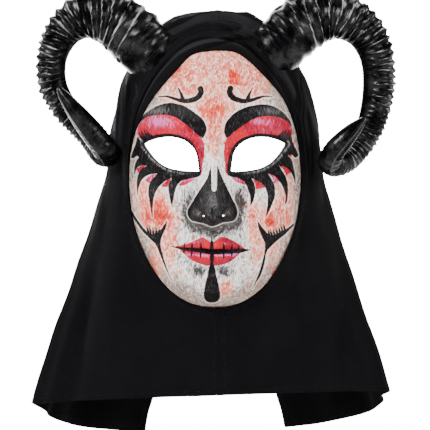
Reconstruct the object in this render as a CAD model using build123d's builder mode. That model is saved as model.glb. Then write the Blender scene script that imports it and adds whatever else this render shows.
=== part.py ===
"""Horned and hooded folk art face mask, worn on the head.

Frame: +X to the wearer's left, which is on the right as seen from the front, +Y towards the back of the head
and +Z up. Names with left and right are as seen from the front.
The origin is the middle of the head opening: between the eyes, in the plane of the face shell's back rim.
All lengths are in millimetres.
"""

from build123d import *
from math import cos, exp, pi, radians, sin, sqrt
import os

# ---------------------------------------------------------------- driving dimensions
# Face shell
FACE_HALF_WIDTH = 82.5
FACE_MIDDLE_Z = -19.0  # height of the widest level
FACE_ABOVE = 137.0  # from the widest level up to the top of the rim
FACE_BELOW = 125.0  # from the widest level down to the chin
FACE_DEPTH = 85.0  # of the dome that the features stand on
RIM_DEPTH = 28.0  # depth of that dome at the temples, where the rim is cut
SHELL_WALL = 2.0
SURFACE_TOLERANCE = 0.3  # of the free-form surfaces
DOME_GROWTH_X = 4.5  # how much wider and taller the dome is than the cut rim
DOME_GROWTH_UP = 9.0
DOME_GROWTH_DOWN = 8.0
NOSTRIL_AT = (9.6, -57.0)
NOSTRIL_SIZE = (1.9, 1.4)  # ellipse radii

# Hood. Each section is two half ellipses that meet at the sides of the head:
# height, half width, y of the front, y of the sides, y of the back
HOOD_SECTIONS = (
    (144, 6, 32, 44, 50),
    (140, 32, 8, 44, 72),
    (131, 51, -6, 45, 96),
    (117, 65, -16, 45, 112),
    (98, 77, -33, 45, 124),
    (74, 90, -45, 45, 134),
    (42, 98, -48, 45, 142),
    (5, 103, -39.5, 45, 145),
    (-19, 106, -32.5, 45, 145),
    (-70, 120, -31, 43, 140),
    (-107, 131, -28, 42, 133),
    (-140, 141, -13.5, 40, 126),
    (-181, 154, -9, 36, 114),
    (-228, 167, -6, 30, 100),
    (-280, 182, -4, 24, 86),
)
CROWN_START_Z = 98.0  # above this the hood closes over the head
CLOTH = 1.5  # thickness of the hood's solid
TAPE = 1.0  # thickness of the tape between the shell's rim and the cloth
TAPE_BACK_Y = 7.0
SEAM_X = 4.0  # the two panels meet here
SEAM_WIDTH = 6.6
SEAM_THICKNESS = 1.2
ROLL_FRONT = 5.0  # how far the rolled fold stands in front of the dome
HEM_TILT = -2.0  # degrees: the hem hangs lower on the left

# Crown band, which carries the horns
BAND_HALF_WIDTH = 72.5
BAND_TOP_Z = 117.0
BAND_BOTTOM_Z = 24.0
BAND_CORNER = 18.0  # radius
BAND_THICKNESS = 2.5
BAND_Y = (-45.0, 18.0)
BAND_SEAT = 96.0  # from the origin to the flats that the horns stand on, along their axes
TAB_OUTLINE = (24.0, 30.0)  # width and height of each tab on the shell
TAB_MIDDLE = (61.0, 60.0)
TAB_THICKNESS = 3.0  # of the tabs that lie against the shell

# Horns
HORN_TILT = 35.0  # degrees of the base axis above the horizontal
HORN_WALL = 1.8
HORN_BASE_Y = 5.0
LEFT_HORN_SLIDE = 45.0  # of the horn's axis along its flat, up from the point nearest the origin
RIGHT_HORN_SLIDE = 49.0
# The way each horn curls, from the base to the tip: x, y, z and radius
LEFT_HORN_COURSE = (
    (-61, 5, 98, 26.5), (-79, 6, 117.5, 27.5), (-99, 8, 132, 25), (-122, 11, 136.5, 22.3),
    (-141, 15, 127, 18.5), (-153, 18, 110, 15.8), (-158, 21, 92, 14.4), (-157, 24, 71, 14),
    (-147.5, 27, 51, 13.2), (-132, 27, 33, 12.7), (-117, 24, 17, 12.2), (-110, 16, 5.5, 11.8),
    (-103, 4, 3, 11.6), (-106.5, -8, 10, 11.6), (-116, -13, 22.5, 11.2), (-128, -15, 37.5, 9.6),
    (-138.5, -16, 51, 7), (-145.5, -16, 60.5, 4.4), (-148.5, -16, 65.5, 2.2),
)
RIGHT_HORN_COURSE = (
    (60, 5, 104.5, 26), (80, 6, 124.5, 27), (103, 8, 135.5, 24.5), (124, 11, 134.5, 21.5),
    (143, 15, 123, 19), (153.5, 18, 106, 17.2), (157.5, 21, 90, 16), (158.5, 23, 74, 15.8),
    (156.5, 25, 53, 15), (151, 26, 32.5, 13.8), (141, 24, 13, 12.6), (128, 18, -1, 11.8),
    (115, 7, -7, 11.2), (109.5, -6, -4, 11), (113, -14, 5, 10.6), (122, -17, 15.5, 9.4),
    (131, -18, 25, 7.4), (138, -18.5, 32, 4.6), (141.5, -18.5, 36, 2.2),
)
BASE_PLANES = 3  # how many of the horn's stretches lie near the hood
PLUG_REACH = 27.0  # of the plug from the band's flat into the horn
BOSS_RADIUS = 15.0  # of the plug's neck through the cloth
CLOTH_HOLE_RADIUS = 15.4
SCREW_SPREAD = 8.0  # each horn has two screws, this far in front of and behind its axis
SCREW_RADIUS = 2.0
SCREW_LENGTH = 24.0
SCREW_HEAD_RADIUS = 3.8
SCREW_HEAD_HEIGHT = 2.4
WASHER_RADIUS = 5.5
WASHER_THICKNESS = 1.0

# Strap, rivets and pads
STRAP_WIDTH = 15.0
STRAP_THICKNESS = 1.5
STRAP_Z = 44.0
STRAP_BACK_Y = 104.0
STRAP_START_Y = -2.0
STRAP_RIVET_Y = 8.0
RIVET_RADIUS = 1.6
RIVET_HEAD_RADIUS = 3.6
RIVET_HEAD_HEIGHT = 1.2
CROWN_RIVETS = ((65.0, 56.0), (57.0, 68.0))
HANG_TONGUE = (26.0, 16.0)  # the tongue that hangs from the band's top: height and width
HANG_HOLE_Z = 102.0
HANG_HOLE_RADIUS = 2.5
PAD_BACK = 8.5  # how far behind the dome the pads reach

FAR = 200.0  # longer than any cut has to reach

os.makedirs("parts", exist_ok=True)


# ---------------------------------------------------------------- face relief
def bump(x, z, at_x, at_z, wide, tall):
    """A rounded swelling of height 1."""
    return exp(-(((x - at_x) / wide) ** 2) - ((z - at_z) / tall) ** 2)


def step(low, high, value):
    """0 below low, 1 above high, and smooth between them."""
    t = min(max((value - low) / (high - low), 0.0), 1.0)
    return t * t * (3 - 2 * t)


def dome_room(x, z):
    """1 in the middle of the face, 0 where the dome meets the plane behind it."""
    tall = FACE_ABOVE + DOME_GROWTH_UP if z > FACE_MIDDLE_Z else FACE_BELOW + DOME_GROWTH_DOWN
    wide = FACE_HALF_WIDTH + DOME_GROWTH_X
    return 1 - abs(x / wide) ** 2.2 - abs((z - FACE_MIDDLE_Z) / tall) ** 3


def dome_depth(x, z):
    return FACE_DEPTH * sqrt(max(dome_room(x, z), 0.0))


def face_depth(x, z):
    """How far the outside of the face stands forward, features included."""
    x = abs(x)
    depth = dome_depth(x, z)
    # eye sockets, brow ridge and the space between the brows
    depth -= 9.0 * bump(x, z, 36, 3, 24, 19) + 3.5 * bump(x, z, 17, -2, 9, 13)
    depth += 3.0 * bump(x, z, 34, 33, 30, 10) + 2.0 * bump(x, z, 0, 24, 12, 12)
    # nose: a ridge that grows from the root to the tip, with a ball and two wings
    along = min(max((10 - z) / 66.0, 0.0), 1.1)
    shown = step(-72, -56, z) * (1 - step(-6, 30, z))
    narrow = 6.0 + 5.0 * along**2
    depth += (3.0 + 17.5 * along**1.35) * shown * exp(-((x / narrow) ** 2))
    depth += 6.0 * (0.35 + 0.65 * along) * shown * exp(-((x / (1.9 * narrow)) ** 2))
    depth += 4.2 * bump(x, z, 0, -55.5, 9, 9.5) + 6.5 * bump(x, z, 13.5, -57.5, 6.2, 8)
    # cheeks, mouth, chin and forehead
    depth += 5.0 * bump(x, z, 50, -44, 22, 22) - 3.5 * bump(x, z, 52, -92, 18, 24)
    depth += 5.5 * bump(x, z, 0, -88, 27, 20)
    depth += 2.6 * bump(x, z, 0, -82.5, 19, 5) + 3.6 * bump(x, z, 0, -95, 17, 6)
    depth -= 4.0 * bump(x, z, 0, -107, 20, 5.5) - 8.5 * bump(x, z, 0, -124, 20, 13)
    depth += 5.0 * bump(x, z, 34, -122, 22, 20) + 2.0 * bump(x, z, 24, 66, 24, 26)
    return depth - 2.5 * bump(x, z, 74, 30, 14, 30)


def behind(depth_at, inward):
    """A solid that fills all the space behind a face surface set inward along its normal."""
    rows, columns, edge_room, slope = 56, 41, 0.06, 0.01
    low, high = FACE_MIDDLE_Z - FACE_BELOW - 3, FACE_MIDDLE_Z + FACE_ABOVE + 3
    grid = []
    for i in range(rows):
        z = low + (high - low) * i / (rows - 1)
        room = dome_room(0, z) - edge_room
        reach = (FACE_HALF_WIDTH + DOME_GROWTH_X) * max(room, 0.04) ** (1 / 2.2)
        row = []
        for j in range(columns):
            x = reach * sin(pi * (j / (columns - 1) - 0.5))
            down_x = (depth_at(x + slope, z) - depth_at(x - slope, z)) / (2 * slope)
            down_z = (depth_at(x, z + slope) - depth_at(x, z - slope)) / (2 * slope)
            size = sqrt(down_x**2 + down_z**2 + 1)
            shift = (inward * down_x / size, inward / size, inward * down_z / size)
            row.append((x + shift[0], RIM_DEPTH - depth_at(x, z) + shift[1], z + shift[2]))
        grid.append(row)
    surface = Face.make_surface_from_array_of_points(
        grid, tol=SURFACE_TOLERANCE, min_deg=3, max_deg=5
    )
    return Solid.extrude(surface, (0, FAR, 0))


def rim_oval(grow=0.0, at_y=0.0):
    """The face's outline, seen from the front."""
    with BuildSketch(Plane.XZ.offset(-at_y)) as oval:
        with BuildLine():
            middle = (0, FACE_MIDDLE_Z)
            wide = FACE_HALF_WIDTH + grow
            EllipticalCenterArc(middle, wide, FACE_ABOVE + grow, 0, arc_size=180)
            EllipticalCenterArc(middle, wide, FACE_BELOW + grow, 180, arc_size=180)
        make_face()
    return oval.sketch


face_outside = behind(face_depth, 0.0)
face_inside = behind(face_depth, SHELL_WALL)
tab_inside = behind(dome_depth, SHELL_WALL + TAB_THICKNESS)
pad_inside = behind(dome_depth, PAD_BACK)
roll_outside = behind(dome_depth, -ROLL_FRONT)


def surface_normal(x, z):
    """Points out of the dome at a place on it."""
    side = 1 if x > 0 else -1
    slope = 0.01
    down_x = (dome_depth(x + slope, z) - dome_depth(x - slope, z)) / (2 * slope)
    down_z = (dome_depth(x, z + slope) - dome_depth(x, z - slope)) / (2 * slope)
    return Vector(-down_x, -1, -down_z).normalized()


def rivet_planes():
    """Planes on the shell's outer surface, facing out, where the band is riveted to it."""
    planes = []
    for side in (-1, 1):
        for x, z in CROWN_RIVETS:
            point = (side * x, RIM_DEPTH - face_depth(x, z), z)
            planes.append(Plane(origin=point, z_dir=surface_normal(side * x, z)))
    return planes


with BuildPart() as crown_rivets:
    for plane in rivet_planes():
        with BuildSketch(plane.offset(-SHELL_WALL - TAB_THICKNESS - RIVET_HEAD_HEIGHT)):
            Circle(RIVET_RADIUS)
        extrude(amount=SHELL_WALL + TAB_THICKNESS + 2 * RIVET_HEAD_HEIGHT)
        with BuildSketch(plane.offset(-0.5)):
            Circle(RIVET_HEAD_RADIUS)
        extrude(amount=RIVET_HEAD_HEIGHT + 0.5)
        with BuildSketch(plane.offset(-SHELL_WALL - TAB_THICKNESS - RIVET_HEAD_HEIGHT - 0.5)):
            Circle(RIVET_HEAD_RADIUS)
        extrude(amount=RIVET_HEAD_HEIGHT + 1)

with BuildPart() as face_shell:
    extrude(rim_oval(), amount=FAR / 2, both=True)
    add(face_outside, mode=Mode.INTERSECT)
    add(face_inside, mode=Mode.SUBTRACT)
    with BuildSketch(Plane.XZ) as eye_openings:
        with BuildLine():
            # outer corner, upper lid, inner corner, then the lower lid back
            Spline((68, 11.5), (54, 16.2), (40, 17.2), (27, 13), (18.5, 4), (14.8, -15.3))
            Spline((14.8, -15.3), (30, -14.2), (44, -11), (56, -3), (68, 11.5))
        make_face()
        mirror(about=Plane.YZ)
    extrude(amount=FAR / 2, both=True, mode=Mode.SUBTRACT)
    with BuildSketch(Plane.XZ) as nostrils:
        with Locations(NOSTRIL_AT, (-NOSTRIL_AT[0], NOSTRIL_AT[1])):
            Ellipse(*NOSTRIL_SIZE)
    extrude(amount=FAR / 2, both=True, mode=Mode.SUBTRACT)
    add(crown_rivets.part, mode=Mode.SUBTRACT)

# ---------------------------------------------------------------- hood
with BuildSketch(Plane.XZ) as visible_face:
    # what the rolled fold leaves open at the forehead
    with BuildLine():
        Spline((-84, -19), (-80, 4), (-75, 24), (-60, 52), (-36, 80), (-21, 95), (0, 99))
        Spline((0, 99), (20, 97), (42, 79), (64, 54), (75, 30), (80, 8), (84, -19))
        Line((84, -19), (84, -160))
        Line((84, -160), (-84, -160))
        Line((-84, -160), (-84, -19))
    make_face()


def hood_form(grow):
    """The hood as a closed solid, with its surface moved outward by grow."""
    with BuildPart() as form:
        for height, half_width, front, side, back in HOOD_SECTIONS:
            lift = grow * max(height - CROWN_START_Z, 0) / (HOOD_SECTIONS[0][0] - CROWN_START_Z)
            with BuildSketch(Plane.XY.offset(height + lift)):
                with BuildLine():
                    middle = (0, side)
                    wide = half_width + grow
                    EllipticalCenterArc(middle, wide, back + grow - side, 0, arc_size=180)
                    EllipticalCenterArc(middle, wide, side - front + grow, 180, arc_size=180)
                make_face()
        loft()
    return form.part


hood_outside = hood_form(0.0)
hood_inside = hood_form(-CLOTH)
seam_outside = hood_form(SEAM_THICKNESS)


def below_hem():
    """Everything under the hem, which hangs lower at the back."""
    with BuildPart() as cutter:
        with BuildSketch(Plane.YZ):
            with BuildLine():
                Spline((-70, -227), (-10, -227), (30, -235), (60, -254), (90, -272), (200, -276))
                Polyline((200, -276), (200, -320), (-70, -320), (-70, -227))
            make_face()
        extrude(amount=FAR, both=True)
    return cutter.part.rotate(Axis.Y, HEM_TILT)


hem_cutter = below_hem()


def open_layer(outside, inside):
    """A layer of the hood with its openings for the face, for the head and at the hem."""
    with BuildPart() as layer:
        add(outside)
        add(inside, mode=Mode.SUBTRACT)
        extrude(rim_oval(TAPE, 8), amount=FAR, mode=Mode.SUBTRACT)
        with BuildSketch(Plane.XZ.offset(-45)) as back_opening:
            with BuildLine():
                Spline(
                    (-72, -290), (-67, -256), (-59, -225), (-64, -150), (-79, -20), (-74, 60),
                    (-42, 103), (0, 112), (42, 103), (74, 60), (79, -20), (64, -150),
                    (59, -225), (67, -256), (72, -290),
                )
                Line((72, -290), (-72, -290))
            make_face()
        extrude(back_opening.sketch, amount=-FAR, mode=Mode.SUBTRACT)
        add(hem_cutter, mode=Mode.SUBTRACT)
    return layer.part


# ---------------------------------------------------------------- horns
def horn_seat(side, slide, along=0.0):
    """A plane across a horn's base axis, that far outside the band's flat."""
    out = Vector(side * cos(radians(HORN_TILT)), 0, sin(radians(HORN_TILT)))
    up = Vector(-side * sin(radians(HORN_TILT)), 0, cos(radians(HORN_TILT)))
    middle = out * (BAND_SEAT + along) + up * slide + Vector(0, HORN_BASE_Y, 0)
    return Plane(origin=middle, x_dir=(0, 1, 0), z_dir=out)


def horn_planes(side, slide, course):
    """Planes across the horn with their radii. Each turns as little as it can from the last."""
    start = horn_seat(side, slide, -14).origin
    points = [start] + [Vector(x, y, z) for x, y, z, radius in course]
    radii = [course[0][3]] + [radius for x, y, z, radius in course]
    seam_side = None
    planes = []
    for i, point in enumerate(points):
        before, after = points[max(i - 1, 0)], points[min(i + 1, len(points) - 1)]
        tangent = (after - before).normalized()
        if seam_side is None:
            seam_side = Vector(0, -1, 0).cross(tangent)
        seam_side = (seam_side - tangent * seam_side.dot(tangent)).normalized()
        planes.append((Plane(origin=point, x_dir=seam_side, z_dir=tangent), radii[i]))
    return planes


def half_rings(planes, first_angle):
    """Half of the horn's wall, lofted through some of its planes."""
    with BuildPart() as wall:
        for plane, radius in planes:
            inner = max(radius - HORN_WALL, 0.4)
            with BuildSketch(plane):
                with BuildLine():
                    outer_arc = CenterArc((0, 0), radius, first_angle, 180)
                    inner_arc = CenterArc((0, 0), inner, first_angle, 180)
                    Line(outer_arc @ 0, inner_arc @ 0)
                    Line(outer_arc @ 1, inner_arc @ 1)
                make_face()
        loft(ruled=True)
    return wall.part


def horn_shell(planes, first_angle):
    """Half of a hollow horn, split along the surface that the horn curls in."""
    with BuildPart() as shell:
        add(half_rings(planes[: BASE_PLANES + 1], first_angle))
        add(hood_outside, mode=Mode.SUBTRACT)
        add(half_rings(planes[BASE_PLANES:], first_angle))
    return shell


def horn_plug(side, slide, planes):
    """Fills the horn's base, with a neck through the cloth that stands on the band."""
    with BuildPart() as plug:
        for plane, radius in planes[:4]:
            with BuildSketch(plane):
                Circle(radius - HORN_WALL)
        loft(ruled=True)
        with BuildSketch(horn_seat(side, slide, PLUG_REACH)):
            Rectangle(FAR, FAR)
        extrude(amount=FAR, mode=Mode.SUBTRACT)
        add(hood_outside, mode=Mode.SUBTRACT)
        with BuildSketch(horn_seat(side, slide)):
            Circle(BOSS_RADIUS)
        extrude(amount=PLUG_REACH)
        with BuildSketch(horn_seat(side, slide)):
            with Locations((-SCREW_SPREAD, 0), (SCREW_SPREAD, 0)):
                Circle(SCREW_RADIUS)
        extrude(amount=SCREW_LENGTH - BAND_THICKNESS - WASHER_THICKNESS, mode=Mode.SUBTRACT)
    return plug


HORNS = ((-1, LEFT_HORN_SLIDE), (1, RIGHT_HORN_SLIDE))  # which side, and the slide
left_planes = horn_planes(-1, LEFT_HORN_SLIDE, LEFT_HORN_COURSE)
right_planes = horn_planes(1, RIGHT_HORN_SLIDE, RIGHT_HORN_COURSE)
left_horn_front_shell = horn_shell(left_planes, 0)
left_horn_back_shell = horn_shell(left_planes, 180)
right_horn_front_shell = horn_shell(right_planes, 0)
right_horn_back_shell = horn_shell(right_planes, 180)
left_horn_plug = horn_plug(-1, LEFT_HORN_SLIDE, left_planes)
right_horn_plug = horn_plug(1, RIGHT_HORN_SLIDE, right_planes)

# ---------------------------------------------------------------- hood pieces
cloth = open_layer(hood_outside, hood_inside)
with BuildPart() as hood_left_panel:
    add(cloth)
    split(bisect_by=Plane.YZ.offset(SEAM_X), keep=Keep.BOTTOM)
    with BuildSketch(horn_seat(-1, LEFT_HORN_SLIDE, -10)):
        Circle(CLOTH_HOLE_RADIUS)
    extrude(amount=PLUG_REACH + 10, mode=Mode.SUBTRACT)

with BuildPart() as hood_right_panel:
    add(cloth)
    split(bisect_by=Plane.YZ.offset(SEAM_X), keep=Keep.TOP)
    with BuildSketch(horn_seat(1, RIGHT_HORN_SLIDE, -10)):
        Circle(CLOTH_HOLE_RADIUS)
    extrude(amount=PLUG_REACH + 10, mode=Mode.SUBTRACT)

with BuildPart() as hood_front_seam:
    add(open_layer(seam_outside, hood_outside))
    with BuildSketch(Plane.XY.offset(-300)):
        with Locations((SEAM_X, -50)):
            Rectangle(SEAM_WIDTH, 160)
    extrude(amount=FACE_MIDDLE_Z + 300, mode=Mode.INTERSECT)

with BuildPart() as hood_edge_tape:
    extrude(rim_oval(TAPE, TAPE_BACK_Y), amount=FAR)
    extrude(rim_oval(0, TAPE_BACK_Y), amount=FAR, mode=Mode.SUBTRACT)
    add(hood_outside, mode=Mode.INTERSECT)
    add(face_inside, mode=Mode.SUBTRACT)

with BuildPart() as hood_brow_roll:
    extrude(rim_oval(), amount=FAR / 2, both=True)
    add(roll_outside, mode=Mode.INTERSECT)
    add(face_outside, mode=Mode.SUBTRACT)
    extrude(visible_face.sketch, amount=FAR, both=True, mode=Mode.SUBTRACT)
    add(crown_rivets.part, mode=Mode.SUBTRACT)

# ---------------------------------------------------------------- crown band
def band_profile(inset):
    """The band's outline, inset from its outer face: two legs, two flats and a top."""
    lean_x, lean_z = cos(radians(HORN_TILT)), sin(radians(HORN_TILT))
    half_width, top = BAND_HALF_WIDTH - inset, BAND_TOP_Z - inset
    seat = BAND_SEAT - inset
    knee = (half_width, (seat - lean_x * half_width) / lean_z)
    shoulder = ((seat - lean_z * top) / lean_x, top)
    with BuildSketch(Plane.XZ.offset(-BAND_Y[1])) as profile:
        with BuildLine():
            FilletPolyline(
                (half_width, BAND_BOTTOM_Z), knee, shoulder, (-shoulder[0], top),
                (-knee[0], knee[1]), (-half_width, BAND_BOTTOM_Z), radius=BAND_CORNER - inset,
            )
            Line((half_width, BAND_BOTTOM_Z), (-half_width, BAND_BOTTOM_Z))
        make_face()
    return profile.sketch


with BuildPart() as crown_band:
    extrude(band_profile(0), amount=BAND_Y[1] - BAND_Y[0])
    extrude(band_profile(BAND_THICKNESS), amount=BAND_Y[1] - BAND_Y[0], mode=Mode.SUBTRACT)
    add(face_inside, mode=Mode.INTERSECT)
    with BuildPart(mode=Mode.PRIVATE) as tabs:
        with BuildSketch(Plane.XZ):
            with Locations((-TAB_MIDDLE[0], TAB_MIDDLE[1]), TAB_MIDDLE):
                RectangleRounded(*TAB_OUTLINE, 4)
        extrude(amount=FAR / 2, both=True)
        extrude(band_profile(0), amount=FAR / 2, both=True, mode=Mode.INTERSECT)
        add(face_inside, mode=Mode.INTERSECT)
        add(tab_inside, mode=Mode.SUBTRACT)
    add(tabs.part)
    with BuildSketch(Plane.XZ.offset(-BAND_Y[1])):
        with Locations((0, HANG_HOLE_Z)):
            SlotOverall(*HANG_TONGUE, 90)
        with Locations((0, HANG_HOLE_Z + HANG_TONGUE[1] / 2)):
            Rectangle(HANG_TONGUE[1], HANG_TONGUE[1])
        with Locations((0, HANG_HOLE_Z)):
            Circle(HANG_HOLE_RADIUS, mode=Mode.SUBTRACT)
        add(band_profile(BAND_THICKNESS / 2), mode=Mode.INTERSECT)
    extrude(amount=BAND_THICKNESS)
    for side, slide in HORNS:
        with BuildSketch(horn_seat(side, slide, -2 * BAND_THICKNESS)):
            with Locations((-SCREW_SPREAD, 0), (SCREW_SPREAD, 0)):
                Circle(SCREW_RADIUS)
        extrude(amount=4 * BAND_THICKNESS, mode=Mode.SUBTRACT)
    with BuildSketch(Plane.YZ):
        with Locations((STRAP_RIVET_Y, STRAP_Z)):
            Circle(RIVET_RADIUS)
    extrude(amount=FAR, both=True, mode=Mode.SUBTRACT)
    add(crown_rivets.part, mode=Mode.SUBTRACT)

# ---------------------------------------------------------------- horn fasteners
with BuildPart() as horn_screws:
    for side, slide in HORNS:
        with BuildSketch(horn_seat(side, slide, -BAND_THICKNESS - WASHER_THICKNESS)):
            with Locations((-SCREW_SPREAD, 0), (SCREW_SPREAD, 0)):
                Circle(SCREW_RADIUS)
        extrude(amount=SCREW_LENGTH)
        with BuildSketch(horn_seat(side, slide, -BAND_THICKNESS - WASHER_THICKNESS)):
            with Locations((-SCREW_SPREAD, 0), (SCREW_SPREAD, 0)):
                Circle(SCREW_HEAD_RADIUS)
        extrude(amount=-SCREW_HEAD_HEIGHT)

with BuildPart() as horn_washers:
    for side, slide in HORNS:
        with BuildSketch(horn_seat(side, slide, -BAND_THICKNESS)):
            with Locations((-SCREW_SPREAD, 0), (SCREW_SPREAD, 0)):
                Circle(WASHER_RADIUS)
                Circle(SCREW_RADIUS, mode=Mode.SUBTRACT)
        extrude(amount=-WASHER_THICKNESS)

# ---------------------------------------------------------------- strap
STRAP_OUTER = BAND_HALF_WIDTH - BAND_THICKNESS
STRAP_BEND_Y = 30.0  # where the straight ends turn into the loop

with BuildPart() as head_strap:
    with BuildSketch(Plane.XY.offset(STRAP_Z - STRAP_WIDTH / 2)):
        for inset, mode in ((0, Mode.ADD), (STRAP_THICKNESS, Mode.SUBTRACT)):
            wide, deep = STRAP_OUTER - inset, STRAP_BACK_Y - STRAP_BEND_Y - inset
            with BuildLine():
                EllipticalCenterArc((0, STRAP_BEND_Y), wide, deep, 0, arc_size=180)
                Polyline(
                    (-wide, STRAP_BEND_Y), (-wide, STRAP_START_Y), (wide, STRAP_START_Y),
                    (wide, STRAP_BEND_Y),
                )
            make_face(mode=mode)
    extrude(amount=STRAP_WIDTH)
    with BuildSketch(Plane.YZ):
        with Locations((STRAP_RIVET_Y, STRAP_Z)):
            Circle(RIVET_RADIUS)
    extrude(amount=FAR, both=True, mode=Mode.SUBTRACT)

with BuildPart() as strap_washers:
    with BuildSketch(Plane.YZ.offset(STRAP_OUTER - STRAP_THICKNESS)):
        with Locations((STRAP_RIVET_Y, STRAP_Z)):
            Circle(WASHER_RADIUS)
            Circle(RIVET_RADIUS, mode=Mode.SUBTRACT)
    extrude(amount=-WASHER_THICKNESS)
    mirror(about=Plane.YZ)

with BuildPart() as strap_rivets:
    inner_end = STRAP_OUTER - STRAP_THICKNESS - WASHER_THICKNESS
    with BuildSketch(Plane.YZ.offset(inner_end)):
        with Locations((STRAP_RIVET_Y, STRAP_Z)):
            Circle(RIVET_RADIUS)
    extrude(amount=BAND_HALF_WIDTH - inner_end)
    with BuildSketch(Plane.YZ.offset(inner_end)):
        with Locations((STRAP_RIVET_Y, STRAP_Z)):
            Circle(RIVET_HEAD_RADIUS)
    extrude(amount=-RIVET_HEAD_HEIGHT)
    with BuildSketch(Plane.YZ.offset(BAND_HALF_WIDTH)):
        with Locations((STRAP_RIVET_Y, STRAP_Z)):
            Circle(RIVET_HEAD_RADIUS)
    extrude(amount=RIVET_HEAD_HEIGHT)
    mirror(about=Plane.YZ)


# ---------------------------------------------------------------- pads
def pad(middle, size, corner):
    """A pad behind the shell, with a rounded outline as seen from the front."""
    with BuildPart() as piece:
        with BuildSketch(Plane.XZ):
            with Locations(middle):
                RectangleRounded(*size, corner)
        extrude(amount=FAR / 2, both=True)
        add(face_inside, mode=Mode.INTERSECT)
        add(pad_inside, mode=Mode.SUBTRACT)
    return piece


forehead_pad = pad((0, 86), (72, 24), 8)
left_cheek_pad = pad((-51, -52), (22, 40), 9)
right_cheek_pad = pad((51, -52), (22, 40), 9)

# ---------------------------------------------------------------- files
PIECES = {
    "face_shell": face_shell,
    "hood_left_panel": hood_left_panel,
    "hood_right_panel": hood_right_panel,
    "hood_front_seam": hood_front_seam,
    "hood_brow_roll": hood_brow_roll,
    "hood_edge_tape": hood_edge_tape,
    "left_horn_front_shell": left_horn_front_shell,
    "left_horn_back_shell": left_horn_back_shell,
    "left_horn_plug": left_horn_plug,
    "right_horn_front_shell": right_horn_front_shell,
    "right_horn_back_shell": right_horn_back_shell,
    "right_horn_plug": right_horn_plug,
    "crown_band": crown_band,
    "crown_rivets": crown_rivets,
    "horn_screws": horn_screws,
    "horn_washers": horn_washers,
    "head_strap": head_strap,
    "strap_rivets": strap_rivets,
    "strap_washers": strap_washers,
    "forehead_pad": forehead_pad,
    "left_cheek_pad": left_cheek_pad,
    "right_cheek_pad": right_cheek_pad,
}
for name, piece in PIECES.items():
    piece.part.label = name
    export_step(piece.part, f"parts/{name}.step")
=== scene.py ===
"""The looks of a hooded, horned face mask: painted shell, cloth hood, ridged horns, strap and pads.

Everything is in metres in the frame of the CAD model: +X to the right as seen from the front, +Y from the
mask into the wearer's head, +Z up, and the origin between the eyes in the plane of the shell's back rim.
Shapes are worked out in millimetres, as in the CAD model, and turned into metres when a mesh is made.
"""

from math import cos, pi, radians, sin

import bpy
import numpy as np
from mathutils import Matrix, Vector, kdtree


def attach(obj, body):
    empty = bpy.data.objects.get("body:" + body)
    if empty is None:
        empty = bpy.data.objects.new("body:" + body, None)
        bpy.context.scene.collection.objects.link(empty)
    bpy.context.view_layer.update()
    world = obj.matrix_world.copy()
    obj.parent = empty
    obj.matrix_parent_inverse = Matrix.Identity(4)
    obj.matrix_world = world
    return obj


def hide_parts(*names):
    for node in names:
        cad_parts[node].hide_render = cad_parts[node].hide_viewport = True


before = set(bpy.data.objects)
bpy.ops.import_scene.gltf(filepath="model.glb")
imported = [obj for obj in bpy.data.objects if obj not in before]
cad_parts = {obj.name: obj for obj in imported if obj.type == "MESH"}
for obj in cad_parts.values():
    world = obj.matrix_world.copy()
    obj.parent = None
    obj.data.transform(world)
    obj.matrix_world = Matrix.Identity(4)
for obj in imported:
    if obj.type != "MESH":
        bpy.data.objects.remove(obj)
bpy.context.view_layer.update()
BODY = "root"
MM = 0.001
REACH = 12.0  # distances to painted shapes are measured this far and no farther
FAR_AWAY, TINY = 1e9, 1e-9


# ---------------------------------------------------------------- mesh helpers
def new_mesh(name, points, faces):
    """A smooth-shaded mesh object from points in millimetres."""
    mesh = bpy.data.meshes.new(name)
    mesh.from_pydata((np.asarray(points, float) * MM).tolist(), [], [list(map(int, f)) for f in faces])
    mesh.validate()
    mesh.update()
    mesh.polygons.foreach_set("use_smooth", [True] * len(mesh.polygons))
    piece = bpy.data.objects.new(name, mesh)
    bpy.context.scene.collection.objects.link(piece)
    return piece


def set_field(piece, name, values):
    """A number, or a row of three, for each point, which the materials read by name."""
    values = np.asarray(values, np.float32)
    kind, key = ("FLOAT_VECTOR", "vector") if values.ndim == 2 else ("FLOAT", "value")
    field = piece.data.attributes.new(name, kind, "POINT")
    field.data.foreach_set(key, values.ravel())


def finish_piece(piece, material, node):
    """Gives a piece its body, its material and the CAD node that it stands for."""
    piece.data.materials.clear()
    piece.data.materials.append(material)
    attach(piece, BODY)
    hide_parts(node)


def grid_faces(rows, columns, closed=False):
    """Quads between the points of a grid, row by row."""
    faces = []
    for i in range(rows - 1):
        for j in range(columns if closed else columns - 1):
            k = (j + 1) % columns
            a, b = i * columns, (i + 1) * columns
            faces.append((a + j, a + k, b + k, b + j))
    return faces


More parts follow.
